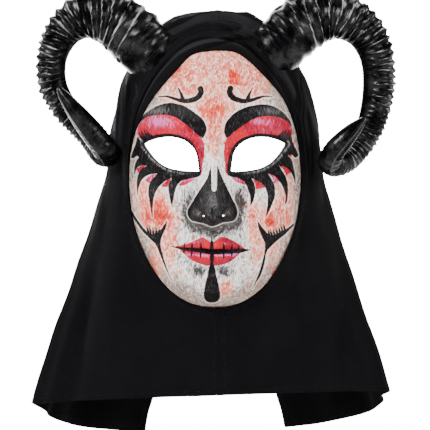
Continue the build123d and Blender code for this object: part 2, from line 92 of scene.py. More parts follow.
# ---------------------------------------------------------------- curves and distances
def smooth_run(points, steps=8):
    """A smooth line through a few points: a centripetal Catmull-Rom spline."""
    p = np.asarray(points, float)
    if len(p) == 2:
        return p[0] + np.linspace(0, 1, steps + 1)[:, None] * (p[1] - p[0])
    p = np.vstack([2 * p[0] - p[1], p, 2 * p[-1] - p[-2]])
    line = []
    for i in range(1, len(p) - 2):
        a, b, c, d = p[i - 1], p[i], p[i + 1], p[i + 2]
        gaps = [max(np.linalg.norm(q - r), 1e-6) ** 0.5 for q, r in ((b, a), (c, b), (d, c))]
        slope_b = (c - b) / gaps[1] - (c - a) / (gaps[0] + gaps[1]) + (b - a) / gaps[0]
        slope_c = (d - c) / gaps[2] - (d - b) / (gaps[1] + gaps[2]) + (c - b) / gaps[1]
        slope_b, slope_c = slope_b * gaps[1], slope_c * gaps[1]
        for t in np.linspace(0, 1, steps, endpoint=False):
            start, end = 2 * t**3 - 3 * t**2 + 1, 3 * t**2 - 2 * t**3
            line.append(start * b + (t**3 - 2 * t**2 + t) * slope_b + end * c + (t**3 - t**2) * slope_c)
    line.append(p[-2])
    return np.array(line)


def closed_shape(*runs):
    """An outline from smooth runs that meet at corners. Each run goes on from the last one's end."""
    line = []
    for i, run in enumerate(runs):
        line.append(smooth_run([runs[i - 1][-1], *run])[:-1])
    return np.vstack(line)


def mirrored(outline):
    """The same outline on the other side of the face."""
    return np.asarray(outline) * (-1, 1)


def segment_distance(places, a, b):
    """Distance from each place to a segment, and how far along the segment the nearest point lies."""
    d = b - a
    t = np.clip(((places - a) @ d) / max(d @ d, 1e-12), 0, 1)
    return np.linalg.norm(places - a - t[:, None] * d, axis=1), t


def near_shape(places, shape):
    """Which places are close enough to a line or an outline to be measured."""
    return ((places > shape.min(0) - REACH) & (places < shape.max(0) + REACH)).all(1)


def inside_distance(places, outline):
    """Distance from each place to an outline in the plane: positive inside, negative outside."""
    places = np.asarray(places, float)
    near = near_shape(places, outline)
    result = np.full(len(places), -REACH)
    spots = places[near]
    if not len(spots):
        return result
    best = np.full(len(spots), FAR_AWAY)
    inside = np.zeros(len(spots), bool)
    for a, b in zip(outline, np.roll(outline, -1, axis=0)):
        best = np.minimum(best, segment_distance(spots, a, b)[0])
        crosses = (a[1] > spots[:, 1]) != (b[1] > spots[:, 1])
        rise = b[1] - a[1] if abs(b[1] - a[1]) > TINY else TINY
        inside ^= crosses & (spots[:, 0] < a[0] + (spots[:, 1] - a[1]) * (b[0] - a[0]) / rise)
    result[near] = np.where(inside, best, -best)
    return result


def stroke_distance(places, line, widths):
    """How far each place is inside a brush stroke whose half width changes along its line."""
    line = smooth_run(line)
    half = np.interp(np.linspace(0, 1, len(line)), np.linspace(0, 1, len(widths)), widths)
    best = np.full(len(places), -REACH)
    near = near_shape(places, line)
    spots, found = places[near], best[near]
    for i in range(len(line) - 1):
        gap, t = segment_distance(spots, line[i], line[i + 1])
        found = np.maximum(found, half[i] + t * (half[i + 1] - half[i]) - gap)
    best[near] = found
    return best


# ---------------------------------------------------------------- face relief
FACE_HALF_WIDTH, FACE_MIDDLE_Z, FACE_ABOVE, FACE_BELOW = 82.5, -19.0, 137.0, 125.0
FACE_DEPTH, RIM_DEPTH, SHELL_WALL, HOLE_EDGE = 85.0, 28.0, 2.0, 2.3
DOME_GROWTH_X, DOME_GROWTH_UP, DOME_GROWTH_DOWN = 4.5, 9.0, 8.0


def bump(x, z, at_x, at_z, wide, tall):
    """A rounded swelling of height 1."""
    return np.exp(-(((x - at_x) / wide) ** 2) - ((z - at_z) / tall) ** 2)


def step(low, high, value):
    """0 below low, 1 above high, and smooth between them."""
    t = np.clip((value - low) / (high - low), 0, 1)
    return t * t * (3 - 2 * t)


def centre_x(x, z):
    """x from the face's own middle line: the paint and the features lean a little to one side."""
    lean = (-0.9 + 0.02 * z) * (1 - step(60, 80, abs(x)))
    return x - lean


def dome_depth(x, z):
    """The plain dome that the features stand on."""
    tall = np.where(z > FACE_MIDDLE_Z, FACE_ABOVE + DOME_GROWTH_UP, FACE_BELOW + DOME_GROWTH_DOWN)
    room = 1 - abs(x / (FACE_HALF_WIDTH + DOME_GROWTH_X)) ** 2.2 - abs((z - FACE_MIDDLE_Z) / tall) ** 3
    return FACE_DEPTH * np.sqrt(np.maximum(room, 0.0004))


def oval_distance(x, z, grow):
    """Distance outside the face's outline, grown by so much: negative inside."""
    tall = np.where(z > FACE_MIDDLE_Z, FACE_ABOVE, FACE_BELOW) + grow
    wide = FACE_HALF_WIDTH + grow
    size = np.hypot(x / wide, (z - FACE_MIDDLE_Z) / tall)
    slope = np.hypot(x / wide**2, (z - FACE_MIDDLE_Z) / tall**2) / np.maximum(size, 1e-6)
    return (size - 1) / np.maximum(slope, 1e-6)


def nose_depth(x, z):
    """Ridge, ball, wings and the hollows round them. x is the distance from the middle line."""
    along = np.clip((10 - z) / 66.0, 0, 1.1)
    under = -66.0 + 0.012 * x**2
    shown = step(-5.5, 9.5, z - under) ** 0.8 * (1 - step(-6, 30, z))
    narrow = 6.0 + 5.0 * along**2
    depth = (3.0 + 17.5 * along**1.35) * shown * np.exp(-((x / narrow) ** 2))
    depth += 6.0 * (0.35 + 0.65 * along) * shown * np.exp(-((x / (1.9 * narrow)) ** 2))
    depth += 4.2 * bump(x, z, 0, -55.5, 9.0, 9.5)
    wing = np.sqrt(((x - 13.2) / 7.2) ** 2 + ((z + 56.8) / 8.8) ** 2)
    depth += 7.2 * np.exp(-(wing**2.6)) * step(3.0, 10.0, x)
    depth -= 1.5 * bump(x, z, 22.0, -55, 3.2, 9)  # crease round the wing
    depth -= 1.2 * bump(x, z, 8.8, -50, 2.8, 7)  # between the ball and the wing
    depth -= 4.5 * bump(x, z, 8.3, -63.0, 3.6, 3.2)  # nostrils
    return depth


def mouth_depth(x, z):
    """Lips, the line between them, the groove above them and the hollow below."""
    depth = -1.5 * bump(x, z, 0, -73, 2.6, 6) + 0.8 * bump(x, z, 4.6, -73, 2.4, 6)
    half = 28.0
    line = -88 + 1.6 * (x / half) ** 2 - 1.0 * np.exp(-((x / 5.0) ** 2))
    span = np.clip(1 - (x / half) ** 2, 0, 1)
    bow = 1 - 0.12 * np.exp(-((x / 14.0) ** 2))
    upper = line + 0.8 + 10.2 * span**0.75 * bow - 1.8 * np.exp(-((x / 4.0) ** 2))
    lower = line - 0.5 - 13.0 * span**0.7
    above = np.clip((z - line) / np.maximum(upper - line, 0.5), 0, 1.6)
    below = np.clip((line - z) / np.maximum(line - lower, 0.5), 0, 1.6)
    upper_lip = np.clip(1 - above, 0, 1) ** 0.5 * (1 - np.exp(-((above / 0.25) ** 1.2))) * 1.3
    lower_lip = np.clip(1 - below**2, 0, 1) * (1 - np.exp(-((below / 0.3) ** 1.2))) * 1.2
    depth += np.where(z >= line, 3.6 * upper_lip, 4.4 * lower_lip) * span**0.5
    depth -= 2.2 * np.exp(-(((z - line) / 1.3) ** 2)) * np.clip(1 - (x / 31) ** 4, 0, 1)
    depth -= 1.6 * bump(x, z, 30, -87, 5, 5)
    return depth - 4.0 * bump(x, z, 0, -107, 20, 5.5)


def face_depth(x, z):
    """How far the outside of the face stands forward of the rim's plane at the temples."""
    depth = dome_depth(x, z)
    x = abs(centre_x(x, z))
    depth -= 9.0 * bump(x, z, 36, 3, 24, 19) + 3.5 * bump(x, z, 17, -2, 9, 13)  # eye sockets
    depth += 3.0 * bump(x, z, 34, 33, 30, 10) + 2.0 * bump(x, z, 0, 24, 12, 12)  # brow ridge
    lid = np.sqrt(((x - 41) / 30.0) ** 2 + ((z - 1 - 0.12 * (x - 41)) / 19.0) ** 2)
    depth += 3.2 * np.exp(-(((lid - 1.0) / 0.22) ** 2))
    depth += nose_depth(x, z) + mouth_depth(x, z)
    depth += 5.0 * bump(x, z, 50, -44, 22, 22) - 3.5 * bump(x, z, 52, -92, 18, 24)  # cheeks
    depth += 5.5 * bump(x, z, 0, -88, 27, 20)
    depth -= 1.8 * bump(x - 0.35 * (-60 - z), z, 24, -74, 4.5, 14)
    depth += 8.5 * bump(x, z, 0, -124, 20, 13) + 5.0 * bump(x, z, 34, -122, 22, 20)  # chin, jaw
    depth += 2.0 * bump(x, z, 24, 66, 24, 26) - 2.5 * bump(x, z, 74, 30, 14, 30)  # forehead, temples
    return depth


# ---------------------------------------------------------------- painted shapes
# Each is an outline or a line on the face, x and z in millimetres. The eyes and the curls over the brows are drawn
# for the right-hand side and mirrored, and the rest are drawn where they lie.
EYE_UPPER = [(68, 11.5), (54, 16.2), (40, 17.2), (27, 13), (18.5, 4), (14.8, -15.3)]
EYE_LOWER = [(14.8, -15.3), (30, -14.2), (44, -11), (56, -3), (68, 11.5)]
EYE_HOLE = np.vstack([smooth_run(EYE_UPPER)[:-1], smooth_run(EYE_LOWER)[:-1]])
EYE_BOTTOM = smooth_run(EYE_LOWER)
EYE_LINER = closed_shape(
    [(70.5, 13.5), (57.6, 19), (49.5, 20), (41, 20.2), (32.7, 18.4), (25.2, 15.4), (19.4, 10.4), (15.2, 3.1)],
    [(15.2, 3.1), (13.4, -3.8), (12.6, -10), (12.4, -17.6)],
    [(12.4, -17.6), (30, -14), (44, -5), (66, 9)],
)
BROW = closed_shape(
    [(10.8, 16.4)],
    [(8.8, 22.3), (10, 29.2), (14, 35), (20.2, 40.4), (29, 44.8), (38, 47), (47.6, 47.8), (54.2, 46.6),
     (60.7, 43.6), (66.6, 39.1), (71.3, 33.2), (73.4, 28.4)],
    [(67, 34), (60, 36.3), (51, 37), (42, 36), (34, 32.8), (26.5, 27.8), (19.5, 22.5), (14, 17.6)],
)
BROW_LEFT = closed_shape(
    [(-10.4, 15.4)],
    [(-7.4, 23.6), (-9.4, 30.6), (-16, 37.4), (-26.4, 44.6), (-35, 48), (-43.3, 49.2), (-52, 47.6), (-60.2, 44),
     (-68, 38.2), (-73.7, 30.3), (-76, 23.6)],
    [(-70.2, 32.6), (-63, 37.2), (-54.5, 38.2), (-45.5, 38), (-37.6, 35.9), (-29.7, 30.8), (-21.9, 24.8),
     (-15.1, 18.6)],
)
EYE_SHADOW = closed_shape(
    [(72.9, 27.5), (73.6, 22.4), (72.5, 17.5)],
    [(57, 12), (40, 14), (27, 10), (19, 2), (12.6, -18)],
    [(11.2, -17.1), (10.3, -7.8), (8.9, 1.2), (9.7, 10.5), (11.7, 17)],
    [(20, 30), (34, 40), (50, 42), (66, 38)],
)
UNDER_EYE = closed_shape(
    [(13.2, -18.4)],
    [(16, -20), (22, -21), (29, -25.2), (32.7, -32.7), (34.3, -38.9), (34.6, -47.6)],
    [(37.7, -41.4), (38.9, -33.9), (38.3, -27.7), (35.8, -21.8)],
    [(43.9, -25.2), (48.3, -30.2), (50.4, -35.8), (50.8, -42.7), (49.6, -57)],
    [(53.9, -48.3), (57, -40.2), (57.6, -32.7), (56, -25.2), (50.4, -16.5)],
    [(57.6, -19.6), (63.2, -25.9), (66.3, -32.1), (67.9, -38.9), (67.0, -48)],
    [(69.1, -40.2), (69.7, -32.7), (69.1, -25.2), (66.9, -18.4), (61.3, -9.4)],
    [(67.6, -10.6), (71.9, -14.6), (74.4, -19.6), (76.3, -25.6)],
    [(75.9, -17.1), (74.4, -9.7), (72.2, -2.5), (69.1, 0.6)],
    [(73, 1.5), (76, -1), (79.5, 1.2)],
    [(76.3, 8), (74, 12), (72.5, 19.5)],
    [(69, 15.5), (66, 10)],
    [(55, 0), (44, -8), (30, -11), (12.8, -14)],
)
UNDER_EYE_LEFT = closed_shape(
    [(-13.2, -18.8)],
    [(-16, -20.2), (-24, -21.8), (-31.7, -24.4), (-34.6, -27.4), (-36.7, -31.7), (-38.5, -39.2), (-40.0, -49.4)],
    [(-42.3, -37.9), (-43.3, -30.5), (-42.3, -25.5), (-39.8, -20.7)],
    [(-48.5, -25.5), (-54.1, -31.7), (-57.2, -39.2), (-58.4, -47.9), (-58.8, -57.6)],
    [(-61, -44.2), (-62.6, -34.2), (-61.6, -26.7), (-58.5, -21.7), (-53.7, -16.6)],
    [(-61.6, -17.6), (-67.2, -20.7), (-70.9, -25.7), (-73.4, -38.0)],
    [(-73.9, -24.2), (-72.4, -16.8), (-69.7, -12.6), (-64.1, -9.5)],
    [(-69.5, -8.8), (-73.4, -10.5), (-76.6, -17.5)],
    [(-76.2, -9.3), (-74.6, -4.6), (-71.6, -0.6)],
    [(-74.6, 0.4), (-77.6, -1.6), (-80.4, -0.4)],
    [(-77.6, 6), (-75.4, 11), (-73.8, 18.6)],
    [(-70.4, 15), (-66, 10)],
    [(-55, 0), (-44, -8), (-30, -11), (-12.8, -14)],
)
SPOTS_OF_RED_LEFT = [
    closed_shape(*runs)
    for runs in (
        ([(-39.6, -20.4)], [(-45.5, -23.6), (-50.6, -28.4)], [(-47, -29.6), (-43, -28.8)],
         [(-42, -25.4), (-39.6, -20.4)]),
        ([(-53.6, -16.4)], [(-60.4, -18.4), (-66.4, -22.8)], [(-62.4, -25.6), (-59.6, -26.2)],
         [(-57.6, -21), (-53.6, -16.4)]),
        ([(-64, -9.4)], [(-69.8, -9), (-74.4, -11.8)], [(-73, -15.8), (-71, -16.8)],
         [(-68.6, -13), (-64, -9.4)]),
        ([(-17, -20)], [(-24, -20.6), (-30, -23.6), (-35.2, -28.6)], [(-29, -28), (-23, -25), (-17, -20)]),
    )
]
SPOTS_OF_RED = [
    closed_shape(*runs)
    for runs in (
        ([(35.2, -21.4)], [(38.6, -26.4), (39.4, -31.4)], [(43.6, -31.0), (48.6, -30.2)],
         [(44, -24.4), (35.2, -21.4)]),
        ([(50.4, -16.5)], [(54.6, -20.6), (56.6, -26.2)], [(60.5, -24.6), (64.4, -25.2)],
         [(58.4, -18.8), (50.4, -16.5)]),
        ([(61.3, -9.4)], [(65.4, -13.4), (68.2, -18.8)], [(70.8, -16.4), (73.0, -15.4)],
         [(68, -9.8), (61.3, -9.4)]),
        ([(15.2, -19.4)], [(20.5, -24.2), (28.5, -27.8)], [(30.4, -27.0), (26, -22), (15.2, -19.4)]),
    )
]
RED_DOTS, RED_DOT = ((73.8, 11.8), (71.6, 0.6)), 1.7
CURL_BALL = (14.0, 62.0, 2.7)
CURL = ([(13.2, 61), (13.4, 57.8), (16, 54), (21.7, 51.3), (27.7, 50.5), (33.9, 51.6), (40.2, 53.8), (46.4, 55.6),
         (53.3, 55.5)], (2.0, 2.6, 2.6, 2.4, 2.1, 1.7, 1.2, 0.8, 0.3))
THORN = ([(29.6, 51), (31.8, 57), (34.6, 63.2)], (2.0, 1.3, 0.3))
NOSE = closed_shape(
    [(4.7, -15.9), (7.8, -23.4), (11.5, -30.8), (15.9, -40.2), (19, -47), (20.5, -52.2), (19.9, -56.6),
     (17.6, -60), (13.2, -61.4), (8.4, -61.8), (3.2, -63.8), (-3.2, -65.6), (-9.4, -63.2), (-15.4, -61.8),
     (-21.2, -60.4), (-24.6, -56.2), (-25, -51.4), (-22.1, -45.8), (-16.5, -35.8), (-10.9, -27.7), (-6.5, -19.6),
     (-4.0, -9.6)],
    [(-3.5, -16), (-3.4, -24), (-3.3, -30.6)],
    [(-2.6, -33), (-0.75, -34), (1.1, -33), (1.8, -30.6)],
    [(1.9, -24), (1.9, -16), (2.2, -9.6)],
)
LIPS = closed_shape(
    [(-37.5, -84.6)],
    [(-27.8, -82.6), (-19.7, -79.4), (-10.7, -76.2), (-3.5, -80.6), (6.4, -75.6), (15.8, -78.8), (22, -82.6),
     (29.5, -87.9)],
    [(26, -89), (22, -92.3), (17, -97), (10.8, -100.6), (3.3, -102.5), (-6, -102.8), (-14.1, -101), (-21.6, -97.8),
     (-27.8, -92.9), (-32, -88.6)],
)
MOUTH_LINE = closed_shape(
    [(-41.5, -84.6)],
    [(-37, -85), (-30, -85.6), (-18, -86.2), (-8, -86.6), (-3.4, -87.6), (2, -86.9), (12, -87.5), (22, -87),
     (27, -87), (33.6, -88)],
    [(27, -89.9), (22, -90.8), (12, -91.4), (2, -92), (-6, -91.8), (-14, -90.6), (-22, -89.4), (-31, -88),
     (-37, -86.2), (-41.5, -84.6)],
)
CHIN_DROP = closed_shape(
    [(-2.9, -100)],
    [(-1.35, -101.9), (0.5, -107.5), (1.2, -112), (2.85, -118), (3.95, -124.3), (4.75, -130.5), (4.1, -134.3),
     (1.5, -137.3), (-2.9, -138.2), (-7.3, -137.3), (-9.9, -134.3), (-10.55, -130.5), (-9.75, -124.3),
     (-8.65, -118), (-6.9, -112), (-6.3, -107.5), (-4.45, -101.9), (-2.9, -100)],
)
LEFT_THORNS = closed_shape(
    [(-82.5, -47)],
    [(-77.9, -53.6), (-72.5, -61.4), (-66.9, -68.4), (-62.2, -72.6)],
    [(-58, -73.6), (-54.4, -72.4)],
    [(-50.1, -68.4), (-47.6, -65.2), (-44.6, -60.6)],
    [(-46.3, -68), (-49.7, -75.6), (-51.3, -82.5), (-50.1, -88.7), (-46.4, -102), (-40.6, -117.4)],
    [(-47.6, -103), (-52.4, -90.8), (-55.6, -83.6), (-62.2, -76.8), (-68.2, -71), (-74, -63.6), (-82.5, -49)],
)
RIGHT_THORNS = closed_shape(
    [(74.6, -63.4)],
    [(69, -67.6), (63.8, -70.6), (57.2, -73.6)],
    [(52.8, -74.6), (48.6, -72.4)],
    [(45.2, -68.4), (42.4, -65), (39.6, -60.8)],
    [(41, -68.6), (43.8, -75.8), (46.8, -82), (46.4, -90.4), (44.6, -99), (41.6, -109.4), (35.2, -124.6)],
    [(42.6, -112.6), (46.8, -99.4), (48.2, -90.8), (51.6, -86), (57.8, -80), (66, -73.6), (74.8, -65)],
)
FEATHERS = (
    ((-62.4, -73.2), (-64.6, -66)), ((-60, -74.6), (-61.8, -66.4)), ((-57.4, -75), (-58.6, -66.8)),
    ((-54.8, -74.6), (-55.4, -66.4)), ((-52.4, -73.4), (-52.2, -67.4)), ((66.2, -70.4), (64.6, -64.6)),
    ((63.8, -72), (62, -65.4)), ((61.4, -73.6), (59.6, -66.6)), ((58.8, -74.8), (57, -67.6)),
    ((56.2, -76), (54.6, -68.6)), ((53.6, -76.4), (52, -69.2)), ((51, -75.6), (49.8, -70)),
)
LASHES = (
    ((58.0, 17.4), (61.8, 20.0), (64.2, 23.6)), ((61.6, 16.8), (65, 20.2), (67, 24.8)),
    ((65, 16), (67.8, 19.6), (69.6, 24.2)), ((68, 15.4), (70.2, 18.6), (71.8, 22.8)),
)
STITCHES = (
    ((0, -80.5), (0.2, -103.5), 1.5), ((-10, -82.5), (-10.4, -94.4), 0.85), ((-18.2, -83), (-18.6, -92.8), 0.85),
    ((-25.4, -83), (-26, -90.6), 0.8), ((11.2, -83), (11, -95), 0.85), ((18.6, -84.4), (18.6, -93.4), 0.8),
    ((25, -85.2), (24.6, -91), 0.75),
)
# soft spots: x, z, two sizes and a strength
STAINS = (
    (16.5, 74, 5, 9, 1.0), (19, 66, 9, 12, 0.45), (0, 42, 11, 8, 0.75), (-9, 38, 8, 8, 0.5), (1, 24, 7, 9, 0.35),
    (-57, -50, 9, 13, 0.75), (-60, -57, 11, 8, 0.8), (-47, -52, 8, 7, 0.55), (-46, -62, 6, 7, 0.5),
    (51.4, -60.7, 6, 8, 1.0), (65.4, -40.8, 4, 5, 0.75), (33.3, -55, 4, 8, 0.45), (67, -56, 6, 9, 0.45),
    (12, -122, 5, 8, 0.6), (40.7, -85.7, 6, 6, 0.4), (-40, -78, 8, 14, 0.35), (-58, -100, 6, 14, 0.4),
    (-66, -30, 6, 10, 0.4), (76, -10, 4, 7, 0.3), (-30, 78, 10, 8, 0.35), (-2, -8, 8, 9, 0.3),
    (52, -110, 5, 12, 0.35),
)
PINK = (
    (0, 84, 60, 26, 0.9), (-34, 62, 16, 20, 0.7), (36, 66, 18, 18, 0.6), (0, 44, 16, 20, 0.95),
    (0, 22, 9, 14, 0.8), (0, 4, 7, 12, 0.55), (-60, -50, 14, 22, 1.0), (-46, -58, 12, 14, 0.7),
    (-44, -84, 9, 20, 0.7), (-54, -98, 8, 22, 0.6), (-34, -112, 10, 14, 0.3), (56, -58, 16, 16, 0.85),
    (66, -40, 10, 20, 0.6), (42, -78, 10, 18, 0.65), (34, -58, 6, 14, 0.6), (10, -124, 6, 10, 0.9),
    (38, -106, 8, 18, 0.4), (56, -92, 8, 18, 0.5), (-72, -30, 8, 12, 0.6),
    (30, -44, 8, 8, 0.3), (-68, 30, 8, 14, 0.3), (72, -20, 6, 12, 0.4),
)
SMUDGES = (
    (-25, -52, 8, 12, 0.95), (21, -52, 8, 12, 0.95), (-11, -69, 14, 7, 0.9), (9, -67, 13, 8, 0.85),
    (-18, -62, 8, 7, 0.8), (17, -61, 8, 6, 0.7), (-14.5, -108, 9, 6.5, 1.0), (8.5, -108, 9, 6.5, 0.95),
    (-3, -76, 4, 6, 0.6), (-24, -38, 7, 12, 0.42), (20, -36, 7, 12, 0.42), (30, -30, 8, 8, 0.3),
    (-32, -92, 8, 8, 0.2), (12, -12, 5, 9, 0.35), (-10, -14, 5, 8, 0.3),
    (-18, -26, 6, 14, 0.3), (27, -40, 9, 14, 0.22), (-4, 4, 12, 10, 0.22), (-30, -98, 12, 12, 0.25),
    (24, -104, 12, 12, 0.25), (-78, -12, 4, 16, 0.5), (79, -30, 4, 24, 0.4), (-79, -50, 4, 24, 0.35),
)
LILAC = (
    (-54, 32, 11, 5, 0.95), (-40, 30, 12, 5, 0.4), (42.5, 32, 8, 3.6, 0.75), (54, 30, 10, 4, 0.3),
    (-72.5, 17, 3, 5, 0.4),
)
# painted shade: soft spots that turn the paint grey-brown on the temples, round the cheeks and on the chin, where the
# face turns away from the light
RIM_SHADE_SPOTS = (
    (-64, 42, 14, 18, 0.9), (-48, 62, 12, 12, 0.5), (66, 42, 12, 20, 0.9), (50, 64, 12, 12, 0.5),
    (-70, 4, 8, 20, 0.5), (72, 4, 8, 20, 0.4), (-34, -60, 8, 20, 0.25), (30, -62, 8, 20, 0.25),
    (-24, -120, 20, 14, 0.2), (24, -126, 18, 12, 0.2),
)
# painted highlights: spots, mirrored to both sides, where the black paint turns grey as if light caught it: the
# brows, the nose's ridge, ball and wings, the claws under the eyes and the chin drop
SHEEN = (
    (52, 42, 16, 5, 1.0), (1.5, -42, 3.5, 11, 0.95), (14, -54, 5, 5, 0.7), (0, -58, 6, 4, 0.5), (9, -40, 5, 14, 0.3),
    (20, 30, 6, 6, 0.3), (0, -128, 4, 7, 0.35), (40, -32, 4, 10, 0.4), (54, -34, 4, 10, 0.45), (60, 6, 8, 6, 0.3),
)


def soft_spots(x, z, spots):
    """The sum of a list of soft spots: x, z, two sizes and a strength."""
    total = np.zeros(len(x))
    for at_x, at_z, wide, tall, strength in spots:
        total += strength * np.exp(-(((x - at_x) / wide) ** 2) - ((z - at_z) / tall) ** 2)
    return np.clip(total, 0, 1)


def both_sides(places, outline):
    """Distance inside an outline or its mirror image."""
    return np.maximum(inside_distance(places, outline), inside_distance(places, mirrored(outline)))


def thin_strokes(places, strokes):
    """For the nearest of some thin lines: the signed distance across it, and its half width there."""
    across, half, best = (np.full(len(places), far) for far in (9.0, -9.0, FAR_AWAY))
    for line, widths in strokes:
        line = smooth_run(line, 6)
        along = np.interp(np.linspace(0, 1, len(line)), np.linspace(0, 1, len(widths)), widths)
        for i in range(len(line) - 1):
            a, b = line[i], line[i + 1]
            gap, t = segment_distance(places, a, b)
            d = b - a
            side = (d[0] * (places[:, 1] - a[1]) - d[1] * (places[:, 0] - a[0])) / max(np.hypot(*d), 1e-9)
            here = gap < best
            best = np.where(here, gap, best)
            across = np.where(here, np.sign(side) * gap, across)
            half = np.where(here, along[i] + t * (along[i + 1] - along[i]), half)
    half = half - 6 * np.maximum(best - half - 1.6, 0)
    return np.clip(across, -9, 9), np.clip(half, -9, 9)


def paint_fields(x, z):
    """All the painted shapes, worked out at each point of the face, as fields that a material can read."""
    lean_x = centre_x(x, z)
    spots = np.stack([lean_x, z], 1)
    signed = np.stack([x, z], 1)
    inked = [inside_distance(spots, shape) for shape in (BROW, BROW_LEFT, UNDER_EYE)]
    one_sided = (UNDER_EYE_LEFT, NOSE, CHIN_DROP, LEFT_THORNS, RIGHT_THORNS)
    inked += [inside_distance(signed, shape) for shape in one_sided]
    inked.append(both_sides(spots, EYE_LINER))
    for side in (-1, 1):
        inked.append(CURL_BALL[2] - np.hypot(lean_x - side * CURL_BALL[0], z - CURL_BALL[1]))
        inked += [stroke_distance(spots, np.asarray(line) * (side, 1), widths) for line, widths in (CURL, THORN)]
    strokes = [(line, (1.05, 0.9, 0.25)) for line in FEATHERS]
    strokes += [(np.asarray(line) * (side, 1), (1.1, 0.9, 0.3)) for line in LASHES for side in (-1, 1)]
    for a, b, w in STITCHES:
        strokes.append((((a[0] - 3, a[1]), (b[0] - 3, b[1])), (0.9 * w, 1.25 * w, 1.25 * w, 0.7 * w)))
    across, half = thin_strokes(signed, strokes)
    shadow = both_sides(spots, EYE_SHADOW)
    patches = np.maximum.reduce(
        [inside_distance(spots, shape) for shape in SPOTS_OF_RED]
        + [inside_distance(signed, shape) for shape in SPOTS_OF_RED_LEFT]
        + [RED_DOT - np.hypot(lean_x - side * at_x, z - at_z) for side in (-1, 1) for at_x, at_z in RED_DOTS]
    )
    lilac = soft_spots(lean_x, z, LILAC)
    side_x = abs(lean_x)
    low_lip = (z + 93.2 - 1.5 * (side_x / 26) ** 2) / 1.3
    lilac = np.maximum(lilac, 0.9 * np.exp(-(low_lip**2)) * (side_x < 24))
    lilac = np.maximum(lilac, 0.8 * bump(lean_x, z, -20, -79, 5, 2))
    lilac = np.maximum(lilac, step(-28.8, -18, z) * step(31, 26, side_x) * step(10, 14, side_x) * (z < -16))
    patch_tint = np.exp(-(((side_x - 57) / 4.4) ** 2) - ((z + 22) / 5.0) ** 2)
    lilac = np.maximum(lilac, 0.6 * patch_tint)
    eye = both_sides(signed, EYE_HOLE)
    inside = -oval_distance(x, z, 0.0)
    # painted shade: darker towards the face's outline, and in the soft spots on the temples, cheeks and chin
    painted_rim_shade = np.clip(soft_spots(x, z, RIM_SHADE_SPOTS) + 0.9 * step(22, 1, inside), 0, 1)
    # for a painted highlight, with worn paint, along the moulded ridge just below each eye hole
    lower_lid = np.interp(abs(x), EYE_BOTTOM[:, 0], EYE_BOTTOM[:, 1])
    lower_edge = step(24, 32, abs(x)) * (z < lower_lid + 3)
    return {
        "black": np.maximum.reduce(inked),
        "across": across,
        "half": half,
        "red": np.maximum.reduce([shadow, patches, inside_distance(signed, LIPS)]),
        "mouth": inside_distance(signed, MOUTH_LINE),
        "lilac": lilac,
        "stain": soft_spots(x, z, STAINS),
        "pink": soft_spots(x, z, PINK),
        "smudge": soft_spots(x, z, SMUDGES),
        "painted_rim_shade": painted_rim_shade,
        "lid_wear_and_highlight": np.exp(-(((eye + 2.4) / 0.8) ** 2)) * lower_edge,
        "sheen": soft_spots(side_x, z, SHEEN),
    }


# ---------------------------------------------------------------- face shell
def warped(count, share):
    """Even steps from -1 to 1, drawn a little closer together towards both ends."""
    t = np.linspace(-1, 1, count)
    return (1 + share) * t - share * t**3


def oval_grid(columns, rows, grow=0.0):
    """Points inside the face's outline, in rows that shorten towards the top and the chin."""
    v = warped(rows, 0.25)[:, None]
    u = warped(columns, 0.3)[None, :]
    tall = np.where(v > 0, FACE_ABOVE, FACE_BELOW) + grow
    reach = (FACE_HALF_WIDTH + grow) * np.sqrt(np.maximum(1 - v**2, 0.0004))
    return np.stack([reach * u, np.broadcast_to(FACE_MIDDLE_Z + tall * v, reach.shape) + 0 * u], -1)


def cut_holes(points, faces, outside):
    """Cuts faces along the zero line of a distance that is positive where the sheet stays."""
    points, outside = list(map(tuple, points)), list(outside)
    made, kept = {}, []

    def crossing(a, b):
        key = (min(a, b), max(a, b))
        if key not in made:
            t = outside[a] / (outside[a] - outside[b])
            points.append(tuple(p + t * (q - p) for p, q in zip(points[a], points[b])))
            outside.append(0.0)
            made[key] = len(points) - 1
        return made[key]

    for face in faces:
        if all(outside[i] >= 0 for i in face):
            kept.append(face)
            continue
        if all(outside[i] <= 0 for i in face):
            continue
        loop = []
        for a, b in zip(face, face[1:] + face[:1]):
            if outside[a] >= 0:
                loop.append(a)
            if outside[a] * outside[b] < 0:
                loop.append(crossing(a, b))
        if len(loop) > 2:
            kept.append(tuple(loop))
    used = sorted({i for face in kept for i in face})
    renumber = {old: new for new, old in enumerate(used)}
    return np.array([points[i] for i in used]), [tuple(renumber[i] for i in face) for face in kept]


def hole_clearance(places):
    """Distance outside the eye openings and the nostrils: negative inside them."""
    clear = np.full(len(places), 12.0)
    for outline in (EYE_HOLE, mirrored(EYE_HOLE)):
        clear = np.minimum(clear, -inside_distance(places, outline))
    for at_x, turn in ((-11.2, 0.5), (8.3, -0.45)):
        dx, dz = places[:, 0] - at_x, places[:, 1] + 56.3
        along, across = dx * cos(turn) - dz * sin(turn), dx * sin(turn) + dz * cos(turn)
        clear = np.minimum(clear, (np.hypot(along / 2.0, across / 1.15) - 1) * 1.3)
    return clear


def snapped(places, size, middle):
    """Moves the points that are close to a hole's edge onto it, so that the cut leaves no slivers."""
    clear = hole_clearance(places)
    nudges = np.eye(2) * 0.05
    slope = np.stack([hole_clearance(places + d) - hole_clearance(places - d) for d in nudges], 1)
    slope /= np.maximum(np.linalg.norm(slope, axis=1), 1e-9)[:, None]
    near = (abs(clear) < size) & (abs(places[:, 0]) > middle)
    moved = places - np.where(near, clear, 0)[:, None] * slope
    return moved, np.where(near, 0, hole_clearance(moved))


